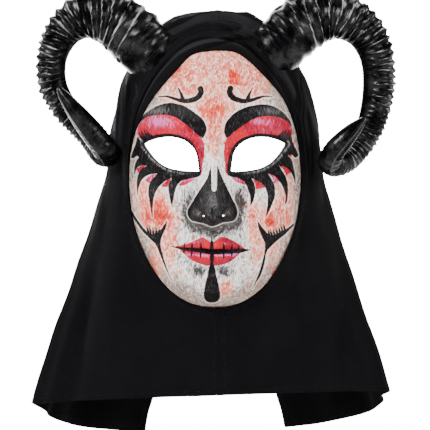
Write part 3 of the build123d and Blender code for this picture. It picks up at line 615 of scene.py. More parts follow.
def slope_normals(depth_at, x, z, step_size=0.15):
    """Normals out of the front of a relief, at points on it."""
    down_x = (depth_at(x + step_size, z) - depth_at(x - step_size, z)) / (2 * step_size)
    down_z = (depth_at(x, z + step_size) - depth_at(x, z - step_size)) / (2 * step_size)
    normal = np.stack([-down_x, -np.ones(len(x)), -down_z], 1)
    return normal / np.linalg.norm(normal, axis=1)[:, None]


def edge_pairs(faces):
    """The directed edges that only one face has: the sheet's edges."""
    seen = {(a, b): True for face in faces for a, b in zip(face, face[1:] + face[:1])}
    return [(a, b) for a, b in seen if (b, a) not in seen]


# columns, rows, and how far a point moves to a hole's edge
SKIN_GRID, LINING_GRID = (236, 272, 0.32), (122, 140, 0.5)


def face_sheet(columns, rows, snap):
    """The face as a flat sheet of points and faces with its holes cut."""
    places = oval_grid(columns, rows).reshape(-1, 2)
    places, clear = snapped(places, snap, 3.0)
    return cut_holes(places, grid_faces(rows, columns), clear)


def hand_modelled(x, z):
    """The small unevenness of a cast and sanded surface."""
    wave = 0.28 * np.sin(0.11 * x + 0.07 * z + 1.3) * np.sin(0.09 * z - 0.05 * x)
    return wave + 0.1 * np.sin(0.31 * x - 0.12 * z) * np.sin(0.27 * z + 0.2 * x + 2)


def outer_depth(x, z):
    """The relief of the face with the unevenness of its casting."""
    return face_depth(x, z) + hand_modelled(x, z)


def outline_share(x, z):
    """0 at the middle of the face and 1 on its outline."""
    return np.hypot(x / FACE_HALF_WIDTH, (z - FACE_MIDDLE_Z) / np.where(z > FACE_MIDDLE_Z, FACE_ABOVE, FACE_BELOW))


def build_face_skin():
    """The painted outside with the thickness of its edges."""
    places, faces = face_sheet(*SKIN_GRID)
    x, z = places[:, 0], places[:, 1]
    outer = np.stack([x, RIM_DEPTH - outer_depth(x, z), z], 1)
    normal = slope_normals(outer_depth, x, z)
    edges = edge_pairs(faces)
    rim = sorted({i for pair in edges for i in pair})
    outward = normal[rim]
    is_rim = outline_share(x[rim], z[rim]) > 0.985
    back = np.where(is_rim[:, None], -SHELL_WALL * outward, (0, HOLE_EDGE, 0))
    start = len(outer)
    number = {i: start + k for k, i in enumerate(rim)}
    points = np.vstack([outer, outer[rim] + back])
    faces = [tuple(reversed(f)) for f in faces]
    faces += [(a, b, number[b], number[a]) for a, b in edges]
    piece = new_mesh("Mask_face", points, faces)
    fields = paint_fields(np.append(x, x[rim]), np.append(z, z[rim]))
    for name, values in fields.items():
        set_field(piece, name, values)
    set_field(piece, "edge_depth", np.append(np.zeros(start), np.ones(len(rim))))
    return piece


def build_face_lining():
    """The bare inside of the shell."""
    places, faces = face_sheet(*LINING_GRID)
    x, z = places[:, 0], places[:, 1]
    outer = np.stack([x, RIM_DEPTH - face_depth(x, z), z], 1)
    normal = slope_normals(face_depth, x, z, 2.5)
    inset = outer - (SHELL_WALL + 0.15) * normal
    inset[:, 0] *= 1 - 0.004 * (outline_share(x, z) > 0.99)
    return new_mesh("Mask_face_inside", inset, faces)


# ---------------------------------------------------------------- material helpers
class Nodes:
    """Builds one material's node tree with short calls."""

    def __init__(self, name, roughness=0.5, **inputs):
        self.material = bpy.data.materials.new(name)
        self.material.use_nodes = True
        self.tree = self.material.node_tree
        self.shader = next(n for n in self.tree.nodes if n.type == "BSDF_PRINCIPLED")
        self.shader.inputs["Roughness"].default_value = roughness
        for key, value in inputs.items():
            self.shader.inputs[key.replace("_", " ")].default_value = value
        self.place = self.node("ShaderNodeTexCoord").outputs["Object"]

    def node(self, kind, **settings):
        made = self.tree.nodes.new(kind)
        for key, value in settings.items():
            setattr(made, key, value)
        return made

    def put(self, socket, value):
        if isinstance(value, bpy.types.NodeSocket):
            self.tree.links.new(value, socket)
        else:
            socket.default_value = value

    def field(self, name, kind="Fac"):
        """A number of each point, or a row of three with kind Vector, as set_field stored it."""
        return self.node("ShaderNodeAttribute", attribute_name=name).outputs[kind]

    def parts(self, vector):
        """The x, y and z of a vector."""
        split = self.node("ShaderNodeSeparateXYZ")
        self.put(split.inputs[0], vector)
        return split.outputs

    def math(self, operation, a, b=0.0, clamp=False):
        made = self.node("ShaderNodeMath", operation=operation, use_clamp=clamp)
        self.put(made.inputs[0], a)
        self.put(made.inputs[1], b)
        return made.outputs[0]

    def add(self, a, b):
        return self.math("ADD", a, b)

    def times(self, a, b):
        return self.math("MULTIPLY", a, b)

    def sway(self, value, amount):
        """A noise as a number around 0 instead of around 0.5, made so many times larger."""
        return self.times(self.add(value, -0.5), amount)

    def mix(self, share, first, second):
        made = self.node("ShaderNodeMix", data_type="RGBA")
        self.put(made.inputs["Factor"], share)
        self.put(made.inputs[6], first)
        self.put(made.inputs[7], second)
        return made.outputs[2]

    def over(self, colour, value, low, high, share, paint):
        """A colour with some paint over it, from none where value is low to the given share where it is high."""
        return self.mix(self.between(value, low, high, 0, share), colour, rgb(*paint))

    def between(self, value, low, high, to_low=0.0, to_high=1.0):
        made = self.node("ShaderNodeMapRange", interpolation_type="SMOOTHSTEP")
        for name, number in (("Value", value), ("From Min", low), ("From Max", high)):
            self.put(made.inputs[name], number)
        self.put(made.inputs["To Min"], to_low)
        self.put(made.inputs["To Max"], to_high)
        return made.outputs[0]

    def moved(self, scale, turn=(0, 0, 0), source=None):
        made = self.node("ShaderNodeMapping")
        self.put(made.inputs["Vector"], source or self.place)
        made.inputs["Scale"].default_value = scale
        made.inputs["Rotation"].default_value = turn
        return made.outputs[0]

    def noise(self, scale, detail=4.0, rough=0.55, vector=None, distortion=0.0):
        made = self.node("ShaderNodeTexNoise")
        self.put(made.inputs["Vector"], vector or self.place)
        made.inputs["Scale"].default_value = scale
        made.inputs["Detail"].default_value = detail
        made.inputs["Roughness"].default_value = rough
        made.inputs["Distortion"].default_value = distortion
        return made.outputs["Fac"]

    def bent(self, scale, amount):
        """Places pushed about by a slow noise, so that brush strokes along them curve."""
        cloud = self.node("ShaderNodeTexNoise")
        self.put(cloud.inputs["Vector"], self.place)
        cloud.inputs["Scale"].default_value = scale
        shifted = self.node("ShaderNodeVectorMath", operation="MULTIPLY_ADD")
        self.put(shifted.inputs[0], cloud.outputs["Color"])
        shifted.inputs[1].default_value = (amount, amount, amount)
        self.put(shifted.inputs[2], self.place)
        return shifted.outputs[0]

    def bands(self, direction, scale, distortion=0.0, vector=None):
        made = self.node("ShaderNodeTexWave", wave_type="BANDS", bands_direction=direction)
        self.put(made.inputs["Vector"], vector or self.place)
        made.inputs["Scale"].default_value = scale
        made.inputs["Distortion"].default_value = distortion
        return made.outputs["Fac"]

    def bump(self, height, strength, distance):
        made = self.node("ShaderNodeBump")
        made.inputs["Strength"].default_value = strength
        made.inputs["Distance"].default_value = distance
        self.put(made.inputs["Height"], height)
        self.set("Normal", made.outputs[0])

    def set(self, name, value):
        self.put(self.shader.inputs[name], value)


def rgb(red, green, blue):
    """A colour as it is seen on a screen, turned into the linear one that a shader takes."""
    shares = (c / 255 for c in (red, green, blue))
    return (*(c / 12.92 if c <= 0.04045 else ((c + 0.055) / 1.055) ** 2.4 for c in shares), 1.0)


# ---------------------------------------------------------------- painted shell material
def painted_shell():
    """Off-white dry-brushed paint with pink stains, and the black and red make-up over it."""
    n = Nodes("Painted_shell", roughness=0.5)
    curved = n.bent(42, 0.016)
    rise = n.noise(1.0, 3, 0.62, n.moved((760, 300, 210), (0, radians(42), 0), curved))
    fall = n.noise(1.0, 3, 0.62, n.moved((700, 300, 190), (0, radians(-38), 0), curved))
    scratch = n.noise(1.0, 2, 0.6, n.moved((1150, 400, 210), (0, radians(62), 0), curved))
    dark_scratch = n.noise(1.0, 2, 0.6, n.moved((980, 400, 170), (0, radians(-24), 0), curved))
    mottle = n.noise(150, 5, 0.66)
    broad = n.noise(38, 4, 0.6)
    fine = n.noise(560, 3, 0.65)
    flecks = n.noise(1.0, 4, 0.7, n.moved((360, 300, 250), (0, radians(20), 0), curved), distortion=0.6)
    strokes = n.times(n.add(rise, fall), 0.5)
    ragged_edge = n.add(n.sway(mottle, 1.5), n.sway(fine, 0.9))

    # painted shade: grey-brown towards the face's outline, broken up by the brush strokes
    painted_rim_shade = n.add(n.field("painted_rim_shade"), n.sway(strokes, 1.6))
    white = n.mix(n.between(broad, 0.34, 0.66), rgb(254, 251, 247), rgb(214, 211, 209))
    white = n.over(white, strokes, 0.5, 0.59, 0.8, (132, 129, 130))
    white = n.over(white, scratch, 0.55, 0.66, 0.85, (88, 85, 86))
    white = n.over(white, strokes, 0.49, 0.4, 0.9, (252, 250, 247))
    white = n.over(white, painted_rim_shade, 0.05, 0.8, 0.9, (122, 114, 105))

    wash = n.add(n.times(mottle, 0.35), n.add(n.times(flecks, 0.45), n.times(broad, 0.2)))
    wash = n.add(wash, n.sway(n.field("pink"), 0.36))
    colour = n.over(white, wash, 0.4, 0.54, 0.95, (255, 142, 112))
    colour = n.over(colour, wash, 0.55, 0.72, 0.9, (222, 84, 60))
    colour = n.over(colour, flecks, 0.5, 0.38, 0.75, (255, 242, 230))
    colour = n.over(colour, flecks, 0.54, 0.68, 0.35, (150, 84, 74))
    colour = n.over(colour, scratch, 0.55, 0.67, 0.65, (116, 66, 60))
    colour = n.over(colour, strokes, 0.46, 0.4, 0.75, (255, 243, 234))
    # more of the painted shade towards the outline, over the washes
    colour = n.over(colour, painted_rim_shade, 0.1, 1.0, 0.45, (150, 124, 108))
    stain = n.add(n.field("stain"), n.sway(mottle, 2.4))
    stain = n.add(stain, n.sway(strokes, 2.4))
    colour = n.over(colour, stain, 0.22, 0.72, 0.8, (226, 74, 44))
    colour = n.over(colour, stain, 0.66, 1.2, 0.95, (190, 14, 10))

    smudge = n.add(n.field("smudge"), n.sway(strokes, 1.8))
    smudge = n.add(smudge, n.sway(flecks, 1.4))
    colour = n.over(colour, smudge, 0.12, 1.0, 0.95, (34, 32, 33))

    red_paint = n.mix(n.between(strokes, 0.42, 0.58), rgb(126, 0, 28), rgb(196, 0, 46))
    red_paint = n.over(red_paint, broad, 0.44, 0.6, 0.7, (206, 4, 22))
    red_paint = n.over(red_paint, dark_scratch, 0.52, 0.64, 0.85, (96, 0, 24))
    lilac = n.add(n.field("lilac"), n.sway(dark_scratch, 3.2))
    red_paint = n.over(red_paint, lilac, 0.2, 0.95, 0.85, (214, 112, 176))
    red = n.between(n.add(n.field("red"), ragged_edge), -0.25, 0.35)
    colour = n.mix(red, colour, red_paint)

    thin = n.math("SUBTRACT", n.field("half"), n.math("ABSOLUTE", n.field("across")))
    thick = n.math("MAXIMUM", n.field("black"), n.field("mouth"))
    halo = n.times(n.between(thick, -1.7, -1.1), n.between(thick, -0.3, -0.8))
    halo = n.times(halo, n.math("SUBTRACT", 1.0, red))
    colour = n.mix(n.times(halo, 0.55), colour, rgb(240, 232, 226))
    thick = n.add(thick, n.times(ragged_edge, 0.8))
    thin = n.add(thin, n.times(ragged_edge, 0.25))
    black = n.between(n.math("MAXIMUM", thick, thin), -0.3, 0.22)
    ink = n.mix(n.between(mottle, 0.35, 0.7), rgb(5, 4, 5), rgb(15, 14, 15))
    # grey dry-brushing over the black paint, and painted highlights on it at the sheen spots
    dry = n.add(n.times(n.field("sheen"), 0.75), n.sway(strokes, 3.0))
    ink = n.over(ink, dry, 0.25, 1.0, 0.75, (104, 100, 102))
    ink = n.over(ink, dark_scratch, 0.58, 0.68, 0.6, (66, 62, 64))
    ink = n.over(ink, scratch, 0.6, 0.7, 0.5, (84, 80, 82))
    colour = n.mix(black, colour, ink)
    # painted highlight with worn paint: grey along the ridge just below the eye holes
    lid_wear_and_highlight_mask = n.times(n.field("lid_wear_and_highlight"), n.between(strokes, 0.44, 0.56))
    colour = n.mix(n.times(lid_wear_and_highlight_mask, 0.8), colour, rgb(150, 146, 146))
    colour = n.mix(n.between(n.field("edge_depth"), 0.05, 0.4), colour, rgb(9, 8, 8))
    n.set("Base Color", colour)
    gloss = n.math("SUBTRACT", 0.6, n.times(n.math("MAXIMUM", red, black), 0.12))
    n.set("Roughness", n.add(gloss, n.sway(fine, 0.25)))
    n.set("Specular IOR Level", n.math("SUBTRACT", 0.16, n.times(black, 0.08)))
    relief = n.add(n.times(strokes, 0.8), n.times(fine, 0.35))
    relief = n.add(relief, n.times(n.math("MAXIMUM", red, black), 0.3))
    n.bump(relief, 0.5, 0.0008)
    return n.material


def bare_inside():
    """Unpainted cast resin with a brushed primer."""
    n = Nodes("Bare_inside", roughness=0.62)
    cloud = n.noise(45, 5, 0.6)
    grain = n.noise(700, 3, 0.6)
    colour = n.mix(n.between(cloud, 0.35, 0.65), rgb(206, 200, 190), rgb(228, 223, 214))
    colour = n.over(colour, grain, 0.55, 0.75, 0.5, (176, 168, 158))
    n.set("Base Color", colour)
    weave = n.noise(1.0, 2, 0.5, n.moved((900, 500, 260)))
    n.bump(n.add(weave, n.times(cloud, 2)), 0.4, 0.0012)
    return n.material


# ---------------------------------------------------------------- camera, light and floor
FLOOR_Z, FLOOR_RADIUS = -0.42, 40.0
WALL_Y, WALL_SIDE, WALL_TOP = 4.0, 2.0, 2.0
LIGHTS = (  # name, place, size in metres and power in watts
    ("Key", (-0.95, -1.45, 1.1), 0.5, 62.0),
    ("Fill", (1.3, -1.35, 0.4), 0.6, 22.0),
    ("Top", (0.15, 0.45, 1.35), 0.45, 9.0),
    ("Left_edge", (-1.3, 0.35, 0.5), 0.4, 13.0),
    ("Right_edge", (1.3, 0.35, 0.6), 0.4, 13.0),
    ("Behind", (-0.5, 1.7, 1.0), 0.8, 26.0),
)


def placed(name, data):
    """An object of the stage."""
    thing = bpy.data.objects.new(name, data)
    bpy.context.scene.collection.objects.link(thing)
    return thing


def pale_floor():
    """Matt pale grey. It glows a little far away, and shines white in a soft-edged patch behind the mask."""
    n = Nodes("Pale_floor", roughness=0.9)
    n.set("Base Color", rgb(236, 236, 236))
    n.set("Emission Color", rgb(255, 255, 255))
    x, y, z = n.parts(n.place)[:3]
    away = n.node("ShaderNodeVectorMath", operation="LENGTH")
    n.put(away.inputs[0], n.place)
    far_glow = n.between(away.outputs["Value"], 0.8, 5.0, 0.05, 0.4)
    aside = n.math("DIVIDE", n.math("ABSOLUTE", x), n.add(y, 2.4))
    lit = n.times(n.between(aside, 0.32, 0.17), n.between(y, 0.4, 0.9))
    lit = n.times(lit, n.between(z, 1.6, 0.7))
    run = n.math("SUBTRACT", 1.0, n.math("DIVIDE", n.add(y, -0.4), 0.98), clamp=True)
    strength = n.times(n.times(lit, 16.0), n.math("POWER", 0.02, run))
    n.set("Emission Strength", n.add(far_glow, strength))
    return n.material


def make_camera():
    """A camera straight in front of the mask."""
    camera = placed("Camera", bpy.data.cameras.new("Camera"))
    camera.location = (0.0, -1.85, -0.0555)
    camera.rotation_euler = (radians(90), 0, 0)
    camera.data.sensor_width, camera.data.lens = 36, 162
    camera.data.clip_start, camera.data.clip_end = 0.05, 20
    bpy.context.scene.camera = camera


def make_world():
    """Soft light from all round: brighter from below the horizon than from above."""
    world = bpy.data.worlds.new("World")
    world.use_nodes = True
    nodes, links = world.node_tree.nodes, world.node_tree.links
    background = next(n for n in nodes if n.type == "BACKGROUND")
    split = nodes.new("ShaderNodeSeparateXYZ")
    links.new(nodes.new("ShaderNodeTexCoord").outputs["Generated"], split.inputs[0])
    sky = nodes.new("ShaderNodeMapRange")
    sky.interpolation_type = "SMOOTHSTEP"
    for name, number in (("From Min", 0.0), ("From Max", 0.4), ("To Min", 0.5), ("To Max", 0.06)):
        sky.inputs[name].default_value = number
    links.new(split.outputs["Z"], sky.inputs["Value"])
    links.new(sky.outputs[0], background.inputs["Strength"])
    background.inputs["Color"].default_value = (1, 1, 1, 1)
    bpy.context.scene.world = world


def make_stage():
    """Camera, floor, backdrop and lights."""
    make_camera()
    turns = [k * pi / 32 for k in range(64)]
    around = [(FLOOR_RADIUS * cos(turn), FLOOR_RADIUS * sin(turn), FLOOR_Z) for turn in turns]
    sides = ((-WALL_SIDE, FLOOR_Z), (WALL_SIDE, FLOOR_Z), (WALL_SIDE, WALL_TOP), (-WALL_SIDE, WALL_TOP))
    wall = [(x, WALL_Y, z) for x, z in sides]
    pale = pale_floor()
    for name, corners in (("Floor", around), ("Backdrop", wall)):
        mesh = bpy.data.meshes.new(name)
        mesh.from_pydata(corners, [], [tuple(range(len(corners)))])
        mesh.materials.append(pale)
        placed(name, mesh)
    for name, place, size, power in LIGHTS:
        lamp = bpy.data.lights.new(name, "AREA")
        lamp.size, lamp.energy = size, power
        lamp_object = placed(name, lamp)
        lamp_object.location = place
        aim = Vector((0, 0, -0.03)) - Vector(place)
        lamp_object.rotation_euler = aim.to_track_quat("-Z", "Y").to_euler()
    make_world()


# ---------------------------------------------------------------- hood surface
# height, half width, y of the front, y of the sides, y of the back
HOOD_SECTIONS = (
    (144, 6, 32, 44, 50), (140, 32, 8, 44, 72), (131, 51, -6, 45, 96), (117, 65, -16, 45, 112),
    (98, 77, -33, 45, 124), (74, 90, -45, 45, 134), (42, 98, -48, 45, 142), (5, 103, -39.5, 45, 145),
    (-19, 106, -32.5, 45, 145), (-70, 120, -31, 43, 140), (-107, 131, -28, 42, 133),
    (-140, 141, -13.5, 40, 126), (-181, 154, -9, 36, 114), (-228, 167, -6, 30, 100), (-280, 182, -4, 24, 86),
)
HOOD_CURVE = smooth_run(HOOD_SECTIONS, 14)


def hood_section(z):
    """Half width and the three y values of the hood at some heights."""
    order = np.argsort(HOOD_CURVE[:, 0])
    return [np.interp(z, HOOD_CURVE[order, 0], HOOD_CURVE[order, k]) for k in (1, 2, 3, 4)]


def outside_hood(points):
    """Above 0 outside the hood's surface, below 0 inside it, and about 1 per half width."""
    wide, front, side, back = hood_section(points[:, 2])
    depth = np.where(points[:, 1] < side, side - front, back - side)
    value = (points[:, 0] / wide) ** 2 + ((points[:, 1] - side) / depth) ** 2 - 1
    return np.where(points[:, 2] > HOOD_SECTIONS[0][0], 1.0, value)


def hood_front_y(x, z):
    """y of the hood's front surface."""
    wide, front, side, back = hood_section(z)
    return side - (side - front) * np.sqrt(np.maximum(1 - (x / wide) ** 2, 0.0))


# ---------------------------------------------------------------- horns
HORN_TILT, BAND_SEAT, RING_STEP, ROOT_LENGTH = 35.0, 96.0, 1.05, 42.0
# points of each horn's course: x, y, z and radius
LEFT_HORN = (
    (-61, 5, 98, 26.5), (-79, 6, 117.5, 27.5), (-99, 8, 132, 25), (-122, 11, 136.5, 22.3),
    (-141, 15, 127, 18.5), (-153, 18, 110, 15.8), (-158, 21, 92, 14.4), (-157, 24, 71, 14),
    (-147.5, 27, 51, 13.2), (-132, 27, 33, 12.7), (-117, 24, 17, 12.2), (-110, 16, 5.5, 11.8),
    (-103, 4, 3, 11.6), (-106.5, -8, 10, 11.6), (-116, -13, 22.5, 11.2), (-128, -15, 37.5, 9.6),
    (-138.5, -16, 51, 7), (-145.5, -16, 60.5, 4.4), (-148.5, -16, 65.5, 2.2),
)
RIGHT_HORN = (
    (60, 5, 104.5, 26), (80, 6, 124.5, 27), (103, 8, 135.5, 24.5), (124, 11, 134.5, 21.5),
    (143, 15, 123, 19), (153.5, 18, 106, 17.2), (157.5, 21, 90, 16), (158.5, 23, 74, 15.8),
    (156.5, 25, 53, 15), (151, 26, 32.5, 13.8), (141, 24, 13, 12.6), (128, 18, -1, 11.8),
    (115, 7, -7, 11.2), (109.5, -6, -4, 11), (113, -14, 5, 10.6),
    (122, -17, 15.5, 9.4), (131, -18, 25, 7.4), (138, -18.5, 32, 4.6), (141.5, -18.5, 36, 2.2),
)
# name, side, place along the band's seat, course and seed of each horn
HORN_SIDES = (("left", -1, 45, LEFT_HORN, 3), ("right", 1, 49, RIGHT_HORN, 8))
# by point of the horn's course: height of the rings, their pitch, the smooth part of the inner flank in degrees,
# and the height of the lumps near the root
RING_HEIGHT = (0.2, 0.6, 1.4, 2.7, 3.0, 2.8, 2.5, 2.4, 2.3, 2.2, 2.0, 1.9, 1.6, 1.4, 1.1, 0.4, 0, 0, 0, 0)
RING_PITCH = (15, 14, 11.5, 9.2, 8.6, 7.8, 7.0, 6.6, 6.2, 5.8, 5.4, 5.0, 4.6, 4.4, 4.6, 5, 6, 6, 6, 6)
SMOOTH_FLANK = (10, 10, 12, 12, 14, 24, 38, 48, 52, 50, 44, 34, 20, 10, 10, 10, 10, 10, 10, 10)
LUMPS = (0.6, 1.0, 1.2, 0.9, 0.3, 0, 0, 0, 0, 0, 0, 0, 0, 0, 0, 0, 0, 0, 0, 0)


def horn_axes(side):
    """The directions out of and up along the band's flat seat for a horn."""
    along, rise = cos(radians(HORN_TILT)), sin(radians(HORN_TILT))
    return np.array([side * along, 0, rise]), np.array([-side * rise, 0, along])


def horn_rings(side, slide, course):
    """Centres, radii, frames and place along the course of closely spaced rings."""
    out, up = horn_axes(side)
    start = out * (BAND_SEAT - 14) + up * slide + (0, 5, 0)
    controls = np.vstack([np.append(start, course[0][3]), course])
    controls = np.hstack([controls, np.arange(len(controls))[:, None] * 1e-3])
    line = smooth_run(controls, 24)
    length = np.append(0, np.cumsum(np.linalg.norm(np.diff(line[:, :3], axis=0), axis=1)))
    s = np.arange(0, length[-1], RING_STEP)
    line = np.stack([np.interp(s, length, line[:, k]) for k in range(5)], 1)
    centre, radius, index = line[:, :3], line[:, 3], line[:, 4] * 1e3
    tangent = np.gradient(centre, axis=0)
    tangent /= np.linalg.norm(tangent, axis=1)[:, None]
    seam = np.cross((0, -1, 0), tangent[0])
    frames = []
    for t in tangent:
        seam = seam - t * (seam @ t)
        seam = seam / np.linalg.norm(seam)
        frames.append((seam, np.cross(t, seam)))
    return s, centre, radius, index, np.array(frames)


def by_course(values, index):
    """A table's values at places along the course."""
    return np.interp(index, range(len(values)), values)


def build_horn_half(name, side, slide, course, front, seed):
    """Half of a horn: a ringed outside, split along the surface that the horn curls in."""
    random = np.random.default_rng(seed)
    s, centre, radius, index, frames = horn_rings(side, slide, course)
    phase = np.cumsum(RING_STEP / by_course(RING_PITCH, index))
    angles = np.radians(np.concatenate([[0, 3, 7], np.linspace(13, 167, 23), [173, 177, 180]]))
    angles = angles if front else angles + pi
    inner_at = 0.0 if side < 0 else pi
    off_inner = np.degrees(abs((angles - inner_at + pi) % (2 * pi) - pi))
    height, flank, lumps = (by_course(t, index)[:, None] for t in (RING_HEIGHT, SMOOTH_FLANK, LUMPS))
    turn = angles[None, :]
    wobble = 0.14 * np.sin(2 * turn + 0.9 * phase[:, None]) + 0.1 * np.sin(3 * turn - 1.7 * phase[:, None] + seed)
    lean = 0.55 * np.cos(turn - inner_at) * (1 - step(4, 7, index))[:, None]
    ring = phase[:, None] + wobble * step(1.5, 4, index)[:, None] + lean
    number = np.floor(ring + 0.5).astype(int)
    strength = random.uniform(0.7, 1.25, number.max() + 3)[number]
    crest = (1 - abs(np.sin(pi * ring))) ** 0.85
    on_flank = step(flank - 16, flank + 22, off_inner[None, :])
    rise = height * strength * on_flank * (crest - 0.42) * 1.25
    run = s[:, None]
    broad = np.sin(0.42 * run + 1.5 * np.sin(turn + seed)) * np.sin(1.6 * turn + 0.11 * run + seed)
    rise = rise + lumps * broad + 0.12 * np.sin(7 * turn + 0.05 * run) * step(14.5, 16, index)[:, None]
    hollow = 0.9 * step(6, 8, index) * (1 - step(11.5, 13, index))
    inner_flank = np.exp(-(((off_inner - 48) / 20) ** 2))[None, :]
    rise = rise - hollow[:, None] * inner_flank
    from_part = np.minimum(abs(angles - angles[0]), abs(angles - angles[-1]))[None, :] * radius[:, None]
    flash = 0.55 * np.exp(-((from_part / 1.1) ** 2)) * step(1.0, 1.6, index)[:, None]
    rise = rise + flash * np.clip(radius[:, None] / 8, 0.3, 1)
    reach = np.maximum(radius[:, None] + rise, 0.15)
    seam, across = frames[:, 0][:, None, :], frames[:, 1][:, None, :]
    direction = seam * np.cos(turn)[..., None] + across * np.sin(turn)[..., None]
    points = centre[:, None, :] + direction * reach[..., None]
    points = started_at_hood(points, s)
    rows, columns = points.shape[:2]
    rim = np.concatenate([points[:, :1], points[:, -1:]], 1)
    wall = np.clip(1 - 2.2 / radius, 0.2, 1)[:, None, None]
    tucked = centre[:, None, :] + (rim - centre[:, None, :]) * wall
    tip = centre[-1] + (centre[-1] - centre[-3]) * 0.7
    everything = np.vstack([points.reshape(-1, 3), tucked[:, 0], tucked[:, 1], tip[None]])
    faces = grid_faces(rows, columns)
    count = rows * columns
    first = [i * columns for i in range(rows)]
    last = [i * columns + columns - 1 for i in range(rows)]
    for i in range(rows - 1):
        faces.append((count + i, first[i], first[i + 1], count + i + 1))
        faces.append((last[i], count + rows + i, count + rows + i + 1, last[i + 1]))
    tip_number = len(everything) - 1
    for j in range(columns - 1):
        faces.append((last[-1] - columns + 1 + j, last[-1] - columns + 2 + j, tip_number))
    piece = new_mesh(name, everything, faces)
    extra = tip_number + 1 - count
    # where the ridge crests get a painted highlight
    crest_highlight = (on_flank * crest * np.clip(height / 1.5, 0, 1)).ravel()
    set_field(piece, "crest", np.append(crest_highlight, np.zeros(extra)))
    set_field(piece, "flash", np.append((flash / 0.55).ravel(), np.ones(extra)))
    lay = np.stack(np.broadcast_arrays(run, turn * 12, index[:, None]), -1).reshape(-1, 3)
    set_field(piece, "lay", np.vstack([lay, np.tile(lay[-1], (extra, 1))]))
    return piece


def started_at_hood(points, s):
    """Draws a horn's first rings up, so that it starts just under the hood's surface."""
    moved = points.copy()
    last = int(np.searchsorted(s, ROOT_LENGTH))
    for j in range(points.shape[1]):
        outside = outside_hood(points[: last + 1, j]) > -0.02
        inside_rows = np.nonzero(~outside)[0]
        begin = s[inside_rows[-1]] if len(inside_rows) else 0.0
        wanted = begin + (s[: last + 1] / s[last]) * (s[last] - begin)
        for k in range(3):
            moved[: last + 1, j, k] = np.interp(wanted, s[: last + 1], points[: last + 1, j, k])
    return moved


def horn_finish():
    """Glossy black cast horn, its ridge crests picked out in light grey as painted highlights, broken up by fine
    lines that run with them.
    """
    n = Nodes("Horn_black", roughness=0.26)
    lay = n.field("lay", "Vector")
    near_tip = n.between(n.parts(lay)["Z"], 14.2, 15.6)
    round_lines = n.noise(1.0, 3, 0.62, n.moved((0.8, 0.06, 0.2), source=lay))
    long_lines = n.noise(1.0, 3, 0.62, n.moved((0.09, 0.55, 0.2), source=lay))
    lines = n.add(n.times(round_lines, n.math("SUBTRACT", 1.0, near_tip)), n.times(long_lines, near_tip))
    pits = n.noise(420, 4, 0.65)
    cloud = n.noise(60, 4, 0.6)
    # painted highlights: light grey along the ridge crests, broken up by the fine lines and the cloud
    crest = n.add(n.field("crest"), n.sway(lines, 1.3))
    crest = n.add(crest, n.sway(cloud, 0.9))
    colour = n.mix(n.between(cloud, 0.35, 0.7), rgb(3, 3, 4), rgb(8, 8, 9))
    colour = n.over(colour, lines, 0.56, 0.67, 0.5, (42, 42, 44))
    colour = n.over(colour, crest, 0.8, 1.08, 0.95, (146, 145, 147))
    colour = n.over(colour, n.field("flash"), 0.6, 1.0, 0.4, (100, 99, 101))
    n.set("Base Color", colour)
    n.set("Roughness", n.between(n.add(n.times(pits, 0.6), n.times(cloud, 0.4)), 0.35, 0.65, 0.18, 0.4))
    n.set("Specular IOR Level", n.between(cloud, 0.38, 0.7, 0.03, 0.34))
    relief = n.add(n.times(pits, 0.5), n.times(lines, 1.1))
    n.bump(relief, 0.35, 0.0004)
    return n.material


def build_horns():
    """Each horn's front and back shell."""
    black = horn_finish()
    for word, side, slide, course, seed in HORN_SIDES:
        for half, front in (("front", True), ("back", False)):
            piece = build_horn_half(f"Horn_{word}_{half}", side, slide, course, front, seed)
            finish_piece(piece, black, f"{word}_horn_{half}_shell")


# ---------------------------------------------------------------- hood
SEAM_X, TAPE, CLOTH, FAR = 4.0, 1.0, 1.2, 50.0
BACK_OPENING_SIDE = [(72, -290), (67, -256), (59, -225), (64, -150), (79, -20), (74, 60), (42, 103)]
BACK_OPENING = smooth_run([(-x, z) for x, z in BACK_OPENING_SIDE] + [(0, 112)] + BACK_OPENING_SIDE[::-1], 10)
HEM = smooth_run([(-70, -227), (-10, -227), (30, -235), (60, -254), (90, -272), (200, -276)], 10)
